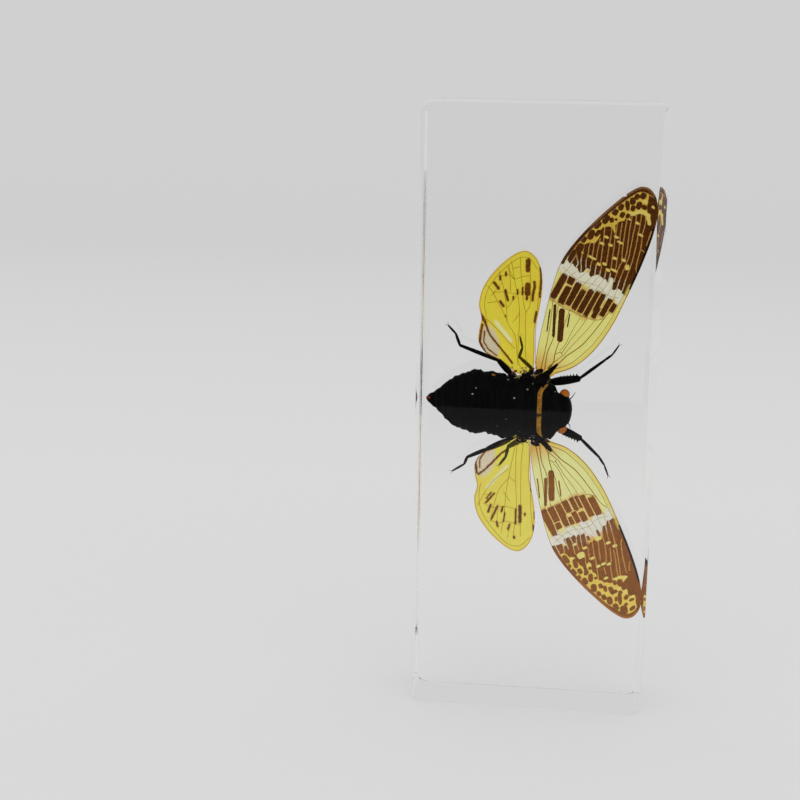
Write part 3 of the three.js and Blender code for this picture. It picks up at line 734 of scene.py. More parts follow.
            (31.6, -6.2, 1.15, 0.5, -15), (33.9, -6.1, 0.65, 0.5, 0), (35.2, -6.9, 0.42, 0.33, 0),
            (36.8, -6.15, 0.85, 0.6, 0), (33.4, -7.4, 0.8, 0.28, 8), (31.6, -7.75, 0.4, 0.25, 0),
            (29.6, -7.8, 1.15, 0.5, 10), (36.6, -4.5, 1, 0.5, -25), (34.3, -3.5, 0.3, 0.33, 0),
            (37.2, -3.4, 0.25, 0.3, 0), (39.3, -4.95, 0.95, 0.65, -20), (39.6, -3.2, 0.55, 0.45, 0),
            (41.2, -4.5, 0.55, 0.45, 0), (42.6, -3.8, 0.65, 0.5, 0), (40.7, -2.5, 0.7, 0.35, -15),
            (44, -2.9, 0.95, 0.62, -15), (41.8, -1.3, 1, 0.5, 0), (42.4, -0.5, 0.35, 0.4, 0),
            (44.3, -1.3, 0.6, 0.22, -30), (43.2, 0.45, 0.4, 0.4, 0), (44.6, -0.4, 1.45, 0.4, -22),
            (46.1, -2.2, 0.8, 0.55, 5), (47.7, -0.8, 1.05, 0.85, -20), (46.6, 0.3, 0.3, 0.4, 0),
            (40.9, 1.5, 0.85, 0.6, -15), (40.3, 0.35, 0.55, 0.4, 0), (44.95, 1.2, 0.4, 0.6, 30),
            (46.1, 2.1, 0.25, 0.55, 0), (48.2, 1.3, 0.35, 0.75, 15), (27, 2.4, 0.8, 0.25, 0),
            (27.1, -0.4, 0.5, 0.25, 0),
        ],
        apicalEdge=(25.1, 9, 25.1, 7.4, 25.2, 6.3, 25, 5.8, 26, 5.1, 25.8, 4.2, 27, 3.5, 28.2, 3.2,
                    28.4, 2.6, 28.8, 1.4, 28.1, 1, 28.2, 0, 28.5, -0.9, 25.4, -0.8, 25.6, -1.8, 25, -2.2,
                    25.6, -2.8, 24.8, -3.2, 25, -4.2, 24.7, -4.8, 24.8, -5.6, 24.5, -6, 26, -6.2,
                    25.5, -7, 25.3, -8.4, 25.3, -11),
        cells=[
            (18, 22.7, 4, 5.5), (16.7, 22.3, 2.3, 3.7), (16.1, 19.3, 1.3, 2.1), (20.3, 22.7, 0.3, 1.6),
            (16, 19.4, -0.1, 0.8), (19.3, 22.3, -1.3, -0.1), (16, 19, -2.1, -0.9),
            (20.3, 22.1, -2.9, -1.6), (16.2, 22, -4.2, -2.7), (16, 19.9, -6.1, -4.4),
            (20.3, 21.7, -6.6, -5), (15.8, 22.8, -8, -6.5),
        ],
        bandLines=[
            (16.4, 3.85, 23, 3.85), (16, 2.2, 22.9, 2.1), (15.8, 1.05, 19.8, 1.05),
            (19.8, 2.1, 19.8, 0.1, 22.8, 0.1), (15.8, -0.5, 19.1, -0.5, 19.4, -1.45, 22.8, -1.45),
            (19.4, 0.1, 19.3, -0.6), (15.8, -2.4, 19.6, -2.4), (19.6, -1.45, 19.6, -2.7, 22.4, -2.9),
            (15.8, -4.3, 22.4, -4.5), (15.8, -6.3, 20.1, -6.3, 22.8, -6.7), (20.1, -4.4, 20.1, -6.5),
        ],
        streaks=[(0.72, 8.1, -1.1, 11, -2.4, 14, -3.9), (0.36, 8.9, -3, 14.8, -6),
                 (0.16, 8, -4.8, 12.5, -6.5), (0.16, 10.8, -0.3, 14.5, -1.6)],
    ),
}
costa = dict(
    amber=[(1.2, 3.0, 4.3, 5.5, 8.2, 7.35, 12, 8.35, 18, 8.85, 23, 8.75, 28, 8.4)], amberHalf=0.5,
    black=[(27.5, 8.6, 34, 8.0, 40, 7.1, 42.5, 6.6)], blackHalf=0.28,
    root=[(0.3, -1.5, 1.6, 0.6, 1.9, 3, 2.3)],
)
membranes = dict(backlight=0.70, own=0.06, roughness=0.25, crisp=0.09, rootGold=(204, 142, 40),
                 amber=(218, 198, 96), black=(24, 14, 8))


def pairs(flatList, shift=0.0):
    # u, v, u, v, ... as points, moved by shift in v
    return np.reshape(np.asarray(flatList, float), (-1, 2)) + [0, shift]


def movedCells(cells, shift, longer=1.0, growth=(0.0, 0.0)):
    # cells moved by shift in v; half length * longer + growth, and half width + growth
    return [(u, v + shift, long * longer + growth[0], wide + growth[1], turn)
            for u, v, long, wide, turn in cells]


def movedLines(lines, shift, *first):
    # lines moved by shift in v, each after the same leading values
    return [first + tuple(pairs(line, shift).ravel()) for line in lines]


def filmShade(colour, times=1.0):
    # a display colour that the film shows with the light behind it
    return shade(*(amount * times for amount in colour), membranes["backlight"])


def forewingPattern(flat, edge, marks):
    # every mark as millimetres inside it, and the brown as the union of its marks less the golden ones
    form, shift = forewing, marks["shift"]
    spots = flat.reshape(-1, 2)
    u, v = spots.T
    apical = insideOf(spots, np.concatenate([pairs(marks["apicalEdge"], shift), [[60, -14], [60, 14]]]))
    zone = insideOf(spots, pairs(marks["zone"], shift))
    bars = movedCells(marks["blotches"], shift, form["barLength"], (0.0, form["barGrowth"]))
    blotch = ovals(spots, bars, 1.0)
    branch = streaks(spots, movedLines(marks["branches"], shift, form["branchHalf"]))
    veins = streaks(spots, movedLines(marks["lines"], shift, form["lineHalf"]))
    golden = np.maximum.reduce([zone, blotch, branch, veins])
    grown = form["cellGrowth"]
    boxes = [((a + b) / 2, (c + d) / 2 + shift, (b - a) / 2 + grown, (d - c) / 2 + grown, 0)
             for a, b, c, d in marks["cells"]]
    bandLines = streaks(spots, movedLines(marks["bandLines"], shift, form["bandLineHalf"]))
    bandCells = np.minimum(ovals(spots, boxes, 2.0), -bandLines)
    zoneCells = movedCells(marks["zoneCells"], shift, 1.0, (form["zoneGrowth"], form["zoneGrowth"]))
    rootStreaks = [movedLines([line], shift, half)[0] for half, *line in marks["streaks"]]
    # the dark border runs on the hind side from u = 25 on, and round the tip from u = 46 on
    rim = lineDistance(spots, np.concatenate([edge, edge[:1]]))
    border = np.minimum(form["borderWidth"] - rim, np.where(v < 3, u - 25, u - 46))
    brown = np.maximum.reduce([np.minimum(apical, -golden), ovals(spots, zoneCells, 0.35), bandCells, border,
                               streaks(spots, rootStreaks)])
    # a thin line along the hind edge of the pale root, and a paler border round the tip
    isHind = 3.0 - v
    edging = np.maximum(np.minimum.reduce([form["rimHalf"] - rim, 25.0 - u, isHind]),
                        np.minimum.reduce([form["tipBorder"] - rim, (u - form["tipFrom"]) * 0.1, isHind]))
    amber, black = (streaks(spots, movedLines(costa[key], 0.0, costa[key + "Half"]))
                    for key in ("amber", "black"))
    distances = {
        "brown": brown, "blotch": np.maximum(blotch, branch), "zone": zone, "edging": edging, "amber": amber,
        "black": np.maximum(black, streaks(spots, costa["root"])),
    }
    labels = {label: np.clip(values, -1, 1) for label, values in distances.items()}
    # the white band wavers: u + 0.5 * sin(1.7 v) + 0.2 * sin(5.3 v + 1)
    wave = 0.5 * np.sin(v * 1.7) + 0.2 * np.sin(v * 5.3 + 1)
    low, high = marks["whiteBand"]
    labels["white"] = softBand(u + wave, low, high + 0.8, 1.1)
    labels["band"] = np.clip((bandCells + form["bandGround"]) / 0.2, 0, 1)
    labels["along"] = u
    return labels


def forewingFilm(side, marks):
    # ground = pale yellow at the root, golden outward, white in the band; over it the golden blotches, the
    # brown, the edging, amber and black, each where its distance is above 0; light passes straight through
    # the film and takes the colour on
    film = Finish("forewing" + side.capitalize() + "Film")
    crisp = membranes["crisp"]
    towardTip = film.attribute("along").above(24.5, 5.0)
    colour = film.mix(towardTip, filmShade(marks["pale"]), filmShade(marks["lineGold"]))
    colour = film.mix(film.attribute("zone").above(-0.1, 0.3), colour, filmShade(marks["zoneGold"]))
    nearRoot = 1 - film.attribute("along").above(3.0, 5.0)
    colour = film.mix(nearRoot * 0.75, colour, filmShade(membranes["rootGold"]))
    colour = film.mix(film.attribute("band") * 0.6, colour, filmShade(marks["lineGold"]))
    colour = film.mix(film.attribute("white") * 0.92, colour, filmShade(marks["white"]))
    colour = film.mix(film.attribute("blotch").above(0.0, 0.2), colour, filmShade(marks["blotchGold"]))
    mottle = film.noise(900.0, 3.0, 0.55).above(0.5, 0.5)
    brown = film.mix(mottle, filmShade(marks["brown"]), filmShade(marks["brown"], 0.86))
    # the brown's edge wanders: its distance + 0.25 * (fine noise - 0.5)
    ragged = film.attribute("brown") + (film.noise(2600.0, 2.0, 0.5) - 0.5) * 0.25
    colour = film.mix(ragged.above(0.0, crisp), colour, brown)
    colour = film.mix(film.attribute("edging").above(0.0, 0.15) * 0.8, colour, filmShade(marks["edging"]))
    colour = film.mix(film.attribute("amber").above(0.0, 0.5) * 0.75, colour, filmShade(membranes["amber"]))
    colour = film.mix(film.attribute("black").above(0.0, crisp), colour, filmShade(membranes["black"]))
    grain = film.noise(2200.0, 3.0, 0.6)
    return film.surface(Base_Color=colour, Roughness=membranes["roughness"], IOR=1.0,
                        Transmission_Weight=1 - membranes["own"], Normal=film.bump(grain, 0.15, 0.00003))


def veinFinish(name, low, high):
    # colour from low to high by the attribute tone, let through like the film's
    finish = Finish(name)
    colour = finish.mix(finish.attribute("tone"), low, high)
    return finish.surface(Base_Color=colour, Roughness=0.3, IOR=1.0, Transmission_Weight=0.8)


def makeForewing(side):
    marks, place = forewingMarks[side], wingPlaces[side]
    flat, edge = wingGrid(forewing["outline"], forewing["rows"], forewing["columns"], marks["nick"])
    half = forewing["lineHalf"]
    lines = movedLines(marks["lines"], marks["shift"], 0.0, half, half * forewing["lineTaper"])
    lines += forewing["rootVeins"] + forewing["crossVeins"]
    lines += [forewing["bandVein"] + line for line in forewing["bandVeins"]] + forewing["longVeins"]
    near = np.min([lineDistance(flat.reshape(-1, 2), pairs(line[3:])) for line in lines], axis=0)
    labels = {label: np.tile(values, 2) for label, values in forewingPattern(flat, edge, marks).items()}
    name = "forewing" + side.capitalize()

    def laid(part):
        return placeWing(part[0], place["turn"], place["root"], 0.0), part[1]

    film = forewingFilm(side, marks)
    addPiece(name, [laid(sheet(flat, near))], film, ["forewing_" + side], labels)
    parts, tones = veinTubes(lines)
    finish = veinFinish(name + "VeinColour", forewing["veinLow"], shade(*forewing["veinHigh"]))
    addPiece(name + "Veins", [laid(part) for part in parts], finish, labels={"tone": tones})


# marks of the hindwings in the block's own millimetres: x, z, x, z, ...; the spots and folds begin with a
# half width
hindwingMarks = {
    "left": dict(
        yellow=(230, 205, 66), lobe=(200, 190, 162), lobeAt=(-11.8, 91.5, 2.4, 4.6, 12),
        veins=[
            (-2.4, 86, -2.9, 90, -3, 94, -3.1, 99.5, -2.3, 101, -2.2, 104, -2.4, 109, -2.8, 113),
            (-3.1, 99.5, -3.8, 102, -4, 105, -4.6, 109, -4.9, 113),
            (-4, 86, -4.6, 88, -4.6, 98, -4.9, 102, -6, 107, -7, 112),
            (-4.6, 86.4, -5, 90, -5.6, 94, -7.3, 96.5, -8.3, 99, -10, 102, -11.5, 104.6, -12.8, 106),
            (-5.5, 90.5, -9.5, 94.8, -11.4, 96.6, -13, 98, -14, 99),
            (-7.6, 97.5, -7.9, 101, -8.6, 105, -9.9, 109.6), (-0.4, 87, -0.6, 95, -0.3, 102, 0.0, 107.5),
            (-0.8, 110.2, -2.6, 112.6, -4.6, 112.9, -7.5, 111.1, -10.4, 108.1, -12.5, 104.7, -13.2, 101,
             -12.6, 98.4),
            (-2.2, 104, -4, 104.6, -5.4, 104, -8.4, 104.4, -11.2, 104.2),
            (-2.5, 108.6, -4.4, 108.2, -6.2, 107.6, -7.4, 108.6, -9.4, 108.2), (-6.2, 107.6, -8, 110.6),
            (-4.8, 110.6, -6.6, 110.2), (-5.6, 103.4, -7.6, 100.6), (-9.2, 106.4, -11.6, 103.4),
            (-4.6, 99.4, -6.2, 97), (-10, 102, -12.6, 101.6), (-6.9, 104.4, -7.2, 107.8, -7.6, 111),
        ],
        spots=[
            (0.5, -3, 109.9, -3, 112.1), (0.28, -11, 106.6, -9.9, 105.2), (0.2, -9.6, 107.4, -9.6, 108.2),
            (0.2, -8.2, 108.4, -8.2, 109.2), (0.24, -8.2, 104.8, -7.6, 102.4),
            (0.12, -6.3, 102.6, -6.3, 103.4), (0.17, -5.3, 104, -5.3, 105),
            (0.19, -4.1, 104, -4.1, 105.6), (0.62, -2.9, 106.2, -2.9, 104.2),
            (0.25, -2.9, 104.2, -3, 102.8), (0.26, -1.3, 107, -1.2, 105.8, -1.6, 104, -1.6, 102.6),
            (0.19, 0, 110.5, 0.3, 107, 0.1, 103.5), (0.26, -9.4, 102, -8.6, 101),
            (0.15, -8, 98.4, -8, 98.6), (0.2, -0.6, 99.8, -0.95, 97.3), (0.3, -14.2, 98.9, -12.9, 96.9),
            (0.18, -13, 97, -11.8, 94, -10, 91.8, -8, 89.5, -6, 87),
            (0.22, -13.6, 96.2, -14.1, 92, -12.6, 89.3, -10, 87.6, -8, 86.4, -6, 84.9),
            (0.1, -13, 94.6, -13.1, 92, -11.9, 90.2, -9.8, 88.7),
        ],
        streak=(0.45, -6.5, 92.5, -10.3, 97),
    ),
    "right": dict(
        yellow=(230, 209, 88), lobe=(208, 198, 172), lobeAt=(-12, 62.3, 2.4, 4.2, -12),
        veins=[
            (-2.6, 67.5, -3, 62, -2.9, 55.5, -2.8, 50, -2.6, 43),
            (-3.8, 67, -4.2, 66, -4.3, 60, -4, 54, -3.8, 50, -4.4, 42.6),
            (-4.6, 66.8, -5, 64, -6, 58, -6.5, 54, -6.8, 49, -7.4, 43.6),
            (-6, 58, -8.2, 55, -9.6, 50, -10.2, 46.4), (-6, 60.4, -9.8, 57, -12, 53.6, -13.4, 50.6),
            (-1, 65, -0.7, 60, -0.5, 57, -0.2, 50, 0.5, 45),
            (-0.2, 43, -2.6, 40.6, -5.4, 40.8, -8.2, 43.2, -10.9, 46.4, -12.8, 50, -13.2, 54,
             -12.8, 56.4),
            (-3.8, 50, -6.6, 50.6, -9.6, 50.2, -12.2, 51.2),
            (-2.6, 46, -4.4, 46.4, -6.6, 46.8, -8.2, 46.2, -10, 46.8), (-5.2, 46.4, -5.8, 42.4),
            (-5.4, 52, -7.2, 54.4), (-8.4, 50.4, -8.6, 45.6), (-4.2, 57, -6, 58.4),
            (-9.6, 53.2, -12, 53.6),
        ],
        spots=[
            (0.15, -10.2, 54, -11.3, 52.5), (0.18, -9.4, 53.8, -11.4, 51.4),
            (0.22, -10.2, 50.8, -10.8, 49), (0.2, -8.5, 50.6, -9.9, 47.2), (0.2, -7.2, 50.4, -7.5, 49.2),
            (0.11, -6.6, 49, -6.9, 46.6), (0.18, -8.6, 46.5, -8.3, 45.3), (0.18, -5.4, 45.9, -5.7, 44.7),
            (0.2, -4.1, 42.9, -4.1, 42.5), (0.18, -3.9, 50, -3.9, 46.3), (0.36, -2.9, 50.8, -2.8, 46.9),
            (0.18, -1.6, 49, -1.6, 48.6), (0.16, 0.7, 49.5, 0.9, 47.8), (0.16, 0.6, 46, 0.6, 44.8),
            (0.2, -0.4, 57.3, -0.2, 55),
            (0.17, -13.5, 58.6, -12, 59.8, -10.5, 61.4, -9, 63.1, -7.8, 64.4, -6.9, 65),
            (0.2, -13.9, 59, -14.3, 62, -12.8, 65.2, -10, 67, -8, 67.8),
            (0.1, -13.2, 60.4, -13.3, 62.4, -12, 64.4, -9.8, 66),
        ],
        streak=(0.4, -6.5, 61, -11.2, 55.3),
    ),
}


def makeHindwing(side):
    # yellow film; over it the whitish streak, the anal lobe and the rim, then the brown spots and folds
    marks, place = hindwingMarks[side], wingPlaces[side]
    flat, edge = wingGrid(hindwing["outline"], hindwing["rows"], hindwing["columns"])
    still = np.concatenate([flat, np.zeros(flat.shape[:2] + (1,))], -1).reshape(-1, 3)
    spots = toBlock(placeWing(still, place["hindTurn"], place["hindRoot"], 0.0))[:, [0, 2]]
    near = np.min([lineDistance(spots, pairs(line)) for line in marks["veins"]], axis=0)
    fromEdge = lineDistance(flat.reshape(-1, 2), np.concatenate([edge, edge[:1]]))
    distances = {
        "brown": streaks(spots, marks["spots"]), "pale": streaks(spots, [marks["streak"]]),
        "lobe": ovals(spots, [marks["lobeAt"]], 0.0), "rim": hindwing["rimWidth"] - fromEdge,
    }
    labels = {label: np.tile(np.clip(values, -1, 1), 2) for label, values in distances.items()}
    name = "hindwing" + side.capitalize()
    film = Finish(name + "Film")
    cloud = film.noise(260.0, 2.0, 0.5).above(0.5, 0.35)
    colour = film.mix(cloud, filmShade(marks["yellow"]), filmShade(marks["yellow"], 0.96))
    colour = film.mix(film.attribute("pale").above(0.05, 0.6), colour, filmShade(hindwing["streak"]))
    colour = film.mix(film.attribute("lobe").above(0.0, 0.9), colour, filmShade(marks["lobe"]))
    colour = film.mix(film.attribute("rim").above(0.0, 0.3) * 0.7, colour, filmShade(hindwing["rim"]))
    colour = film.mix(film.attribute("brown").above(-0.2, 0.55) * 0.4, colour, filmShade(hindwing["halo"]))
    # the spots' edges wander: their distance + 0.06 + 0.5 * (fine noise - 0.5)
    ragged = film.attribute("brown") + 0.06 + (film.noise(1700.0, 3.0, 0.6) - 0.5) * 0.5
    colour = film.mix(ragged.above(0.0, 0.16), colour, filmShade(hindwing["spot"]))
    finish = film.surface(Base_Color=colour, Roughness=membranes["roughness"], IOR=1.0,
                          Transmission_Weight=1 - membranes["own"])
    points, faces = sheet(flat, near)
    placed = placeWing(points, place["hindTurn"], place["hindRoot"], wingForm["hindDrop"])
    addPiece(name, [(placed, faces)], finish, ["hindwing_" + side], labels)
    parts = []
    for line in marks["veins"]:
        path = curve(pairs(line, -insect["axisHeight"]), wingForm["veinSpan"])
        path = np.concatenate([path, np.full((len(path), 1), -wingForm["hindDrop"])], 1)
        parts.append(tube(path, hindwing["veinRadius"], wingForm["veinSides"]))
    tones = np.full(sum(len(part[0]) for part in parts), hindwing["veinTone"])
    finish = veinFinish(name + "VeinColour", shade(*hindwing["veinLow"]), shade(*hindwing["veinHigh"]))
    addPiece(name + "Veins", parts, finish, labels={"tone": tones})


# [x, left, right, back, belly] from the front of the head to the tail
bodyForm = [
    (8.9, 1.6, -0.8, 0.3, -2.2), (8.6, 2.8, -2, 0.9, -3), (8, 3.7, -3.1, 1.5, -3.6),
    (7.2, 4.3, -3.9, 1.9, -4), (5.6, 4.7, -4.9, 2.3, -4.1), (4.6, 6.2, -6.5, 2.8, -4.2),
    (3.8, 6.8, -7.1, 3.1, -4.3), (2.2, 7, -6.8, 3.5, -4.6), (0, 6.6, -6.2, 3.8, -4.9),
    (-2, 7.3, -6.4, 4.3, -5.1), (-5, 8, -6.6, 4.5, -5.2), (-8, 8.8, -7, 4.1, -5),
    (-11, 9.4, -6.5, 3.6, -4.8), (-12.4, 9.3, -6, 3.5, -4.8), (-14.5, 9.9, -6.4, 3.6, -4.9),
    (-17, 8.9, -5.8, 3.3, -4.7), (-20, 7.8, -4.6, 2.7, -4.2), (-22, 6.3, -2.9, 2, -3.6),
    (-24, 4.4, -1, 1.1, -2.9), (-26, 3.1, 0.6, 0.1, -2.1), (-26.9, 2.4, 1.7, -0.6, -1.4),
]
# the overlaps are how far a shell reaches under the next one
body = dict(perSpan=14, columns=64, front=9.0, headRear=5.4, headOverlap=0.4, pronotumOverlap=0.2,
            pronotumRear=0.4, thoraxRear=-9.4, tail=-27.0, overlap=0.3, waistShare=0.35, tuck=0.16,
            tuckReach=0.3, dents=0.17, collarFront=1.7, collarRise=0.22, collarBend=0.22, collarStraight=4.2,
            black=(0.003, 0.003, 0.0033), gold=(228, 164, 66))
tergites = dict(ends=(-11.6, -13.8, -16, -18.2, -20.3, -22.3, -24.2, -27.5), step=0.2, slope=0.09)
furrows = dict(deep=0.28, reach=0.3, lines=[
    [(4.9, 0.4), (2.4, 0.3)], [(4.6, 2.4), (3.2, 3.2), (2.2, 4.8)], [(4.6, -2.6), (3.2, -3.4), (2.2, -4.8)],
    [(4.2, 1.2), (2.9, 1.6)], [(4.2, -1.4), (2.9, -1.8)],
])
cross = dict(high=0.34, reach=0.5, lines=[
    [(-5.6, 0.3), (-7.4, 0.8), (-9.1, 2.8)], [(-5.6, 0.3), (-7.4, -0.2), (-9.1, -2.2)],
    [(-5.6, 0.3), (-4.7, 1.5)], [(-5.6, 0.3), (-4.7, -0.9)],
])


def bodyRows(front, rear):
    # close sections between two places, from the curve through bodyForm
    rows = curve(bodyForm, body["perSpan"])
    return rows[(rows[:, 0] <= front) & (rows[:, 0] >= rear)]


def loft(rows, relief=None):
    # half ellipses over and under a waist, which sinks where the back does; ends draw in and close to a point
    columns = body["columns"]
    turn = np.arange(columns) * 2 * np.pi / columns
    x, left, right, back, belly = (column[:, None] for column in rows.T)
    middle = (left + right) / 2
    waist = np.minimum(0, back - body["waistShare"] * (back - belly))
    across, up = np.cos(turn) * (left - right) / 2, np.sin(turn)
    rise = np.where(up > 0, up * (back - waist), up * (waist - belly))
    size = np.hypot(across, rise) + 1e-6
    # soft dents all over, dents * sin(1.6 x + 2 turn) * cos(2.5 x - 3 turn + 1), less the tuck at both ends
    swell = body["dents"] * np.sin(1.6 * x + 2 * turn) * np.cos(2.5 * x - 3 * turn + 1)
    away = np.minimum(rows[0, 0] - x, x - rows[-1, 0])
    swell = swell - body["tuck"] * np.exp(-(away / body["tuckReach"]) ** 2)
    if relief is not None:
        swell = swell + relief(x + 0 * size, middle + across, rise)
    factor = 1 + swell / size
    points = np.stack([x + 0 * size, middle + across * factor, waist + rise * factor], -1)
    poles = points[[0, -1]].mean(1)
    count = len(rows) * columns
    first = np.arange(columns)
    after = np.roll(first, -1)
    last = count - columns
    cap = np.stack([np.full(columns, count), after, first, first], 1)
    lid = np.stack([np.full(columns, count + 1), last + first, last + after, last + after], 1)
    faces = gridFaces(len(rows), columns, closed=True)
    return np.concatenate([points.reshape(-1, 3), poles]), np.concatenate([faces, cap, lid])


def lineRelief(lines, height, reach):
    # a rounded ridge or groove, height * exp(-(distance from the lines / reach) ** 2), on the back alone
    def relief(x, y, rise):
        flat = np.stack([x.ravel(), y.ravel()], 1)
        away = np.min([lineDistance(flat, line) for line in lines], axis=0).reshape(x.shape)
        return height * np.exp(-(away / reach) ** 2) * (rise > 0.5)

    return relief


def tergiteRelief(x, y, rise):
    # each ring swells to its rear edge, by step * share ** 3 - slope, and steps down to the next one
    edges = np.array((body["thoraxRear"],) + tergites["ends"])
    ring = np.clip(np.searchsorted(-edges, -x) - 1, 0, len(edges) - 2)
    share = (edges[ring] - x) / (edges[ring] - edges[ring + 1])
    return tergites["step"] * share ** 3 - tergites["slope"]


def chitin():
    # black and nearly matt: base colour = black, towards golden brown by gold * (0.45 + 0.55 * soft noise)
    shell = Finish("blackChitin")
    grain = shell.noise(2600.0, 4.0, 0.6)
    patchy = shell.noise(900.0, 3.0, 0.6).above(0.5, 0.3) * 0.55 + 0.45
    colour = shell.mix(shell.attribute("gold") * patchy, body["black"], shade(*body["gold"]))
    return shell.surface(Base_Color=colour, Roughness=0.42, IOR=1.1,
                         Normal=shell.bump(grain, 0.35, 0.00008))


# the eyes' dark red flank colour is painted shade beside their orange top
eyes = dict(radius=1.25, left=(7.0, 4.3, -0.5), right=(6.6, -4.35, -0.5), orange=(1.0, 0.4, 0.03),
            cellEdge=(0.6, 0.1, 0.012), paintedFlankShade=(0.3, 0.025, 0.008))
beak = dict(path=[(7.2, 0.3, -3.4), (4.6, 0.2, -5.2), (1.2, 0.2, -6.0), (-3.4, 0.3, -6.2)],
            radii=(1.1, 0.75, 0.5, 0.35))
clypeus = dict(centre=(7.5, 0.35, -2.1), radii=(1.5, 1.9, 1.5))
ocelli = dict(radii=(0.26, 0.26, 0.2), centres=[(6.9, 0.3, 2.0), (6.2, 1.0, 2.15), (6.2, -0.4, 2.15)])
antennae = dict(radii=(0.16, 0.05), paths=[
    [(7.9, 2.8, -0.6), (8.9, 3.7, -0.7), (9.6, 4.9, -0.9)],
    [(7.7, -2.6, -0.6), (8.4, -3.3, -0.8), (8.7, -4.2, -0.9)],
])


# small plates and flecks as seen on the back: [x, z in the block, half length, half width, turn, tone];
# tone 0 golden brown, 0.33 yellow, 0.66 red, 1 white
flecks = dict(thick=0.22, wingLevel=0.25, spots=[
    (-15.3, 79.5, 0.22, 0.18, 0, 1), (-14.5, 81, 0.16, 0.14, 0, 1), (-5.1, 79, 0.22, 0.18, 20, 1),
    (-2, 81.1, 0.2, 0.17, 0, 1), (-0.8, 82.2, 0.16, 0.14, 0, 1), (-0.1, 82.9, 0.15, 0.13, 0, 1),
    (-6.8, 83.2, 0.18, 0.15, 0, 1), (4.7, 80.6, 0.12, 0.1, 0, 1), (-6.9, 73.7, 0.35, 0.18, 30, 0),
    (-9, 71.7, 0.3, 0.16, -20, 0), (-3.7, 70.7, 0.3, 0.17, 0, 0), (-10.4, 84.2, 0.5, 0.28, -15, 0.5),
    (-26.2, 77.7, 0.45, 0.35, 0, 0.66), (-4.3, 83.9, 0.9, 0.32, 15, 0.33),
    (-1.7, 83.9, 0.6, 0.26, -10, 0.33), (-0.6, 84.3, 0.5, 0.24, 40, 0.33),
    (-5.2, 85.1, 0.6, 0.3, 30, 0.66), (-3, 85.3, 0.5, 0.28, -20, 0.6), (1, 85.2, 0.7, 0.34, 60, 0.15),
    (3.2, 86.6, 0.9, 0.32, 48, 0.2), (-5, 68.5, 0.7, 0.4, 0, 0.33), (-1.6, 68.6, 0.8, 0.28, -30, 0.33),
    (-0.3, 67.2, 0.5, 0.28, 0, 0.33), (-3.4, 68, 0.6, 0.3, 20, 0.66), (2.5, 83.2, 1.2, 0.5, 22, 0),
    (2.8, 68.3, 1.3, 0.42, -28, 0),
], stops=[
    (0.0, (0.13, 0.06, 0.012)), (0.33, (0.55, 0.42, 0.06)), (0.66, (0.35, 0.05, 0.012)),
    (1.0, (0.8, 0.8, 0.78)),
], seed=4, grainThick=0.72, grains=[((-6.6, 83.4), (1.2, 86.2), 30), ((-5.2, 66.8), (0.4, 68.9), 20)],
    # a grain's least half length, half width, turn and tone, and how much each may be more
    grainLeast=(0.12, 0.1, -90, 0), grainMore=(0.24, 0.12, 180, 1))
# black lumps and stalks that carry the wings; the lumps are [x, z, half length, half width, turn]
hinges = dict(
    lumps=[
        (0.4, 82.7, 2.4, 1.0, 4), (1.2, 83.7, 2.2, 1.2, 8), (0.8, 68.3, 2.0, 1.0, -8),
        (-2.2, 83.6, 2.0, 0.8, 0), (-2.4, 68.7, 2.2, 0.7, 0), (-2.5, 84.6, 1.2, 0.5, 10),
        (0.5, 85.2, 1.3, 0.7, 25), (-5.8, 84.2, 1.1, 0.6, -10), (0.2, 67.2, 1.2, 0.6, -20),
        (-3, 67.8, 1.3, 0.5, 0), (-5.8, 68.2, 1, 0.5, 15), (-8, 84.2, 0.8, 0.45, -10),
        (-7.6, 68.6, 0.8, 0.4, 10),
    ],
    thick=0.6, stalkRadius=0.42, stalkTaper=(1.3, 0.6), stalkHeight=0.3,
    stalks=[[(1.8, 84.6), (3.2, 85.7), (4.8, 87.2)], [(1.4, 68.2), (2.8, 66.8), (4.2, 65.4)]],
)


def backHeight(x, y):
    # how high the back stands over the wings' plane, from the half ellipse of the section there
    rows = curve(bodyForm, 8)[::-1]
    left, right, back = (np.interp(x, rows[:, 0], rows[:, k]) for k in (1, 2, 3))
    inside = 1 - ((y - (left + right) / 2) / ((left - right) / 2)) ** 2
    return back * math.sqrt(max(inside, 0.0))


def plate(x, z, long, wide, turn, thick):
    # a flat ellipsoid that lies on the back, or on the wings beside it
    y = z - insect["axisHeight"]
    high = max(backHeight(x, y), flecks["wingLevel"])
    return ball((x, y, high), (long, wide, thick), rows=8, columns=14, turn=math.radians(turn))


def strewnGrains():
    # small grains drawn at random within rectangles at the wing roots, written like the flecks
    draw = np.random.default_rng(flecks["seed"])
    grains = []
    for (x1, z1), (x2, z2), count in flecks["grains"]:
        least = np.array([x1, z1, *flecks["grainLeast"]])
        spread = np.array([x2 - x1, z2 - z1, *flecks["grainMore"]])
        grains += (least + draw.random((count, 6)) * spread).tolist()
    return grains


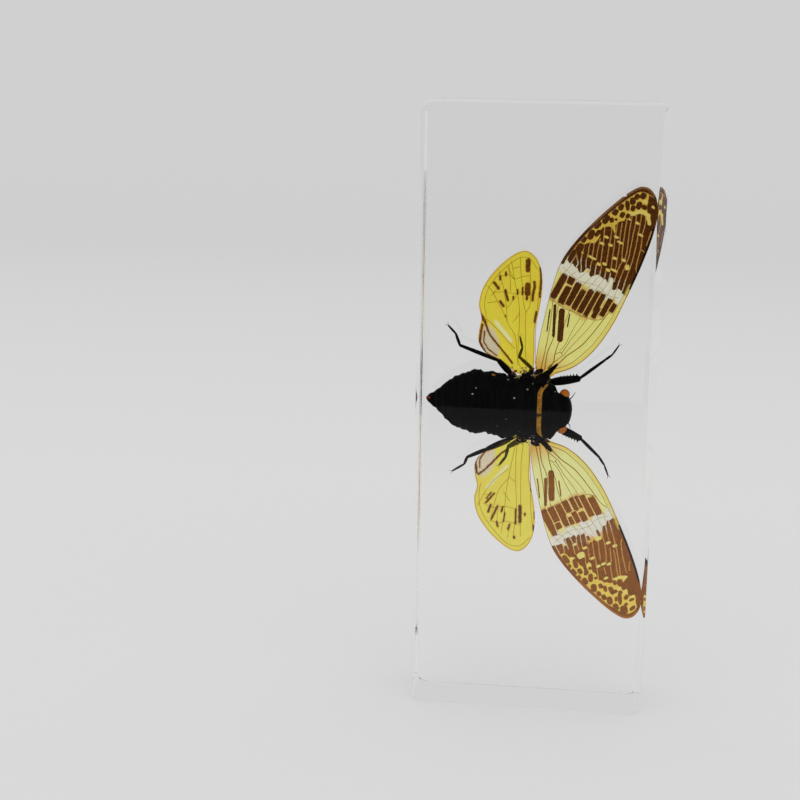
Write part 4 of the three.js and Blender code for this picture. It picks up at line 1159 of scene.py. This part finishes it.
def makeHinges(shell):
    parts = [plate(*lump, hinges["thick"]) for lump in hinges["lumps"]]
    first, last = (hinges["stalkRadius"] * times for times in hinges["stalkTaper"])
    for line in hinges["stalks"]:
        path = curve([(x, z - insect["axisHeight"], hinges["stalkHeight"]) for x, z in line], 6)
        parts.append(tube(path, np.linspace(first, last, len(path)), 10))
    addPiece("wingHinges", parts, shell)
    parts = [plate(*spot[:5], flecks["thick"]) for spot in flecks["spots"]]
    grains = strewnGrains()
    parts += [plate(*grain[:5], flecks["grainThick"]) for grain in grains]
    tones = np.repeat([spot[5] for spot in flecks["spots"] + grains], [len(part[0]) for part in parts])
    # base colour = the ramp of stops read at the attribute tone
    finish = Finish("smallPlates")
    ramp = finish.add("ShaderNodeValToRGB", {"stops": flecks["stops"]}, {"Fac": finish.attribute("tone")})
    addPiece("smallPlates", parts, finish.surface(Base_Color=ramp, Roughness=0.4, IOR=1.15),
             labels={"tone": tones})


def makeEye(side):
    # red amber, darker in small cells: base colour = orange mixed to the cells' edge by the cell distance,
    # and all of it to a painted shade of dark red on the flanks, by the share of the radius that a spot lies
    # above the middle
    name = side.capitalize()
    amber = Finish("amberEye" + name)
    cells = amber.add("ShaderNodeTexVoronoi", {}, {"Vector": amber.place(), "Scale": 7000.0})
    colour = amber.mix(cells.above(0.5, 0.5), eyes["orange"], eyes["cellEdge"])
    colour = amber.mix(amber.attribute("facing").above(0.5, 0.5), eyes["paintedFlankShade"], colour)
    finish = amber.surface(Base_Color=colour, Roughness=0.28, IOR=1.25,
                           Normal=amber.bump(cells, 0.4, 0.00004))
    points, faces = ball(eyes[side], [eyes["radius"]] * 3, rows=24, columns=36)
    facing = (points[:, 2] - eyes[side][2]) / eyes["radius"]
    addPiece("eye" + name, [(points, faces)], finish, ["eye_" + side], {"facing": facing})


def makeBody():
    shell = chitin()
    path = curve(beak["path"], 10)
    radii = np.interp(np.linspace(0, 3, len(path)), range(4), beak["radii"])
    headParts = [loft(bodyRows(body["front"], body["headRear"] - body["headOverlap"])), tube(path, radii, 16),
                 ball(clypeus["centre"], clypeus["radii"], rows=18, columns=28)]
    headParts += [ball(centre, ocelli["radii"], rows=8, columns=12) for centre in ocelli["centres"]]
    headParts += [tube(curve(line, 6), np.linspace(*antennae["radii"], 13), 8) for line in antennae["paths"]]
    addPiece("headShell", headParts, shell, ["head"])
    grooves = lineRelief(furrows["lines"], -furrows["deep"], furrows["reach"])
    pronotum = loft(bodyRows(body["headRear"] + body["pronotumOverlap"], body["pronotumRear"]), grooves)
    addPiece("pronotumShell", [pronotum], shell, ["pronotum"])
    collarRows = bodyRows(body["collarFront"], body["pronotumRear"])
    collar = loft(collarRows, lambda x, y, rise: body["collarRise"] + 0 * x)
    # its ends hook towards the head: x + collarBend * (how far it lies beyond collarStraight) ** 2
    beyond = np.maximum(0, np.abs(collar[0][:, 1]) - body["collarStraight"])
    collar[0][:, 0] += body["collarBend"] * beyond ** 2
    # it is golden but for a gap in the middle of the back, and down to the flanks
    away = np.abs(collar[0][:, 1] + 0.5)
    gold = np.clip((away - 0.35) / 0.3, 0, 1) * (collar[0][:, 2] > -1.0)
    addPiece("collar", [collar], shell, labels={"gold": gold})
    ridges = lineRelief(cross["lines"], cross["high"], cross["reach"])
    thorax = loft(bodyRows(body["pronotumRear"] + body["overlap"], body["thoraxRear"]), ridges)
    addPiece("thoraxShell", [thorax], shell, ["thorax"])
    abdomen = loft(bodyRows(body["thoraxRear"] + body["overlap"], body["tail"]), tergiteRelief)
    addPiece("abdomenShell", [abdomen], shell, ["abdomen"])


# joints from the hip to the claws, and the radius of each stretch between them
legs = {
    "front_left": ([(2.4, 2.6, -6), (3.6, 6.6, -4.8), (10.4, 8, -3), (16.4, 12.9, -2.6),
                    (18.1, 14.3, -2.4), (19.5, 16.5, -2.2)], (1.05, 1.05, 0.4, 0.3, 0.22)),
    "front_right": ([(2.6, -2.4, -6), (5.2, -4.7, -5.2), (11.3, -7, -3), (16, -11.4, -2.6),
                     (17.4, -13.4, -2.4), (18.4, -15.9, -2.2)], (1.05, 1.0, 0.4, 0.3, 0.22)),
    "mid_left": ([(-1.6, 2.8, -6.1), (-1.8, 7.6, -4.6), (-1.2, 10, -3.2), (-4.4, 12.9, -2.6),
                  (-3.7, 15.2, -2.4), (-4.3, 17.7, -2.3)], (1.0, 0.7, 0.45, 0.36, 0.28)),
    "mid_right": ([(-1.6, -2.2, -6.1), (-2.4, -7.6, -4.4), (-6.4, -9.9, -3), (-6.9, -12.4, -2.6),
                   (-8.4, -14.5, -2.4)], (1.0, 0.7, 0.4, 0.34)),
    "hind_left": ([(-5.6, 3, -6), (-6.4, 8.4, -4.6), (-9.4, 11.7, -3.2), (-19, 15.2, -2.8),
                   (-20.1, 18.1, -2.6), (-21.9, 20, -2.5)], (1.0, 0.8, 0.5, 0.36, 0.28)),
    "hind_right": ([(-5.4, -2.2, -6), (-6.4, -8.4, -4.4), (-11.6, -10.7, -3), (-16.5, -13, -2.8),
                    (-17.2, -14.8, -2.6), (-20, -16.6, -2.5)], (1.0, 0.75, 0.5, 0.36, 0.28)),
}
legForm = dict(steps=13, sides=14, waist=0.74, fullest=1.05, knee=0.86, claw=0.9, clawRadius=0.09,
               clawLean=0.55, spur=0.6, spurRadius=0.1, thighThorn=0.72, thighThornRadius=0.36,
               spurForward=0.75, spurAside=0.6, thornForward=0.3, thornBase=0.6,
               # spurs [share of the shank, side], and thorns from one share of the thigh to another
               spurs=((0.45, 1), (0.6, -1), (0.75, 1), (0.93, -1), (0.95, 1)), thighThorns=(0.34, 0.92, 6))


def limbStretch(start, end, radius):
    # thin at both ends: radius * (waist + (fullest - waist) * sin(pi * share ** 0.75))
    share = np.linspace(0, 1, legForm["steps"])[:, None]
    path = np.asarray(start) * (1 - share) + np.asarray(end) * share
    full = np.sin(np.pi * share[:, 0] ** 0.75)
    profile = legForm["waist"] + (legForm["fullest"] - legForm["waist"]) * full
    return tube(path, radius * profile, legForm["sides"])


def thorn(base, direction, length, radius):
    # a spike, with radius * (1 - 0.85 * the share of its length)
    share = np.linspace(0, 1, 4)[:, None]
    path = np.asarray(base) + share * length * np.asarray(direction)
    return tube(path, radius * (1 - 0.85 * share[:, 0]), 6)


def makeLeg(name, finish):
    joints, radii = legs[name]
    joints = np.array(joints, float)
    parts = [limbStretch(a, b, r) for a, b, r in zip(joints[:-1], joints[1:], radii)]
    parts += [ball(joint, [r * legForm["knee"]] * 3, rows=8, columns=12)
              for joint, r in zip(joints[1:-1], radii[1:])]

    def stretch(first, last):
        # a stretch between two joints, its direction, and the direction aside from it, level with the wings
        whole = joints[last] - joints[first]
        along = whole / np.linalg.norm(whole)
        return whole, along, np.cross(along, [0, 0, 1.0])

    along, aside = stretch(-2, -1)[1:]
    for lean in (-legForm["clawLean"], legForm["clawLean"]):
        parts.append(thorn(joints[-1], along + lean * aside, legForm["claw"], legForm["clawRadius"]))
    shank, along, aside = stretch(2, 3)
    for share, lean in legForm["spurs"]:
        direction = legForm["spurForward"] * along + lean * legForm["spurAside"] * aside
        parts.append(thorn(joints[2] + share * shank, direction, legForm["spur"], legForm["spurRadius"]))
    if name.startswith("front"):
        thigh, along, aside = stretch(1, 2)
        aside = aside * (-1 if "left" in name else 1)
        for share in np.linspace(*legForm["thighThorns"]):
            base = joints[1] + share * thigh + aside * radii[1] * legForm["thornBase"]
            direction = legForm["thornForward"] * along + aside
            parts.append(thorn(base, direction, legForm["thighThorn"], legForm["thighThornRadius"]))
    piece = "leg" + "".join(word.capitalize() for word in name.split("_"))
    addPiece(piece, parts, finish, ["leg_" + name])


makeCamera()
makeWorld()
makeStage()
makeBlock()
print("camera, stage and block made")
for wingSide in ("left", "right"):
    makeForewing(wingSide)
    makeHindwing(wingSide)
print("wings made")
makeBody()
for eyeSide in ("left", "right"):
    makeEye(eyeSide)
legShell = chitin()
makeHinges(legShell)
for legName in legs:
    makeLeg(legName, legShell)
print("body, eyes and legs made")

scene = bpy.context.scene
scene.view_settings.view_transform = "Standard"
scene.cycles.use_denoising = True
scene.cycles.max_bounces = 24
scene.cycles.transmission_bounces = 24
scene.cycles.glossy_bounces = 8
scene.cycles.diffuse_bounces = 4
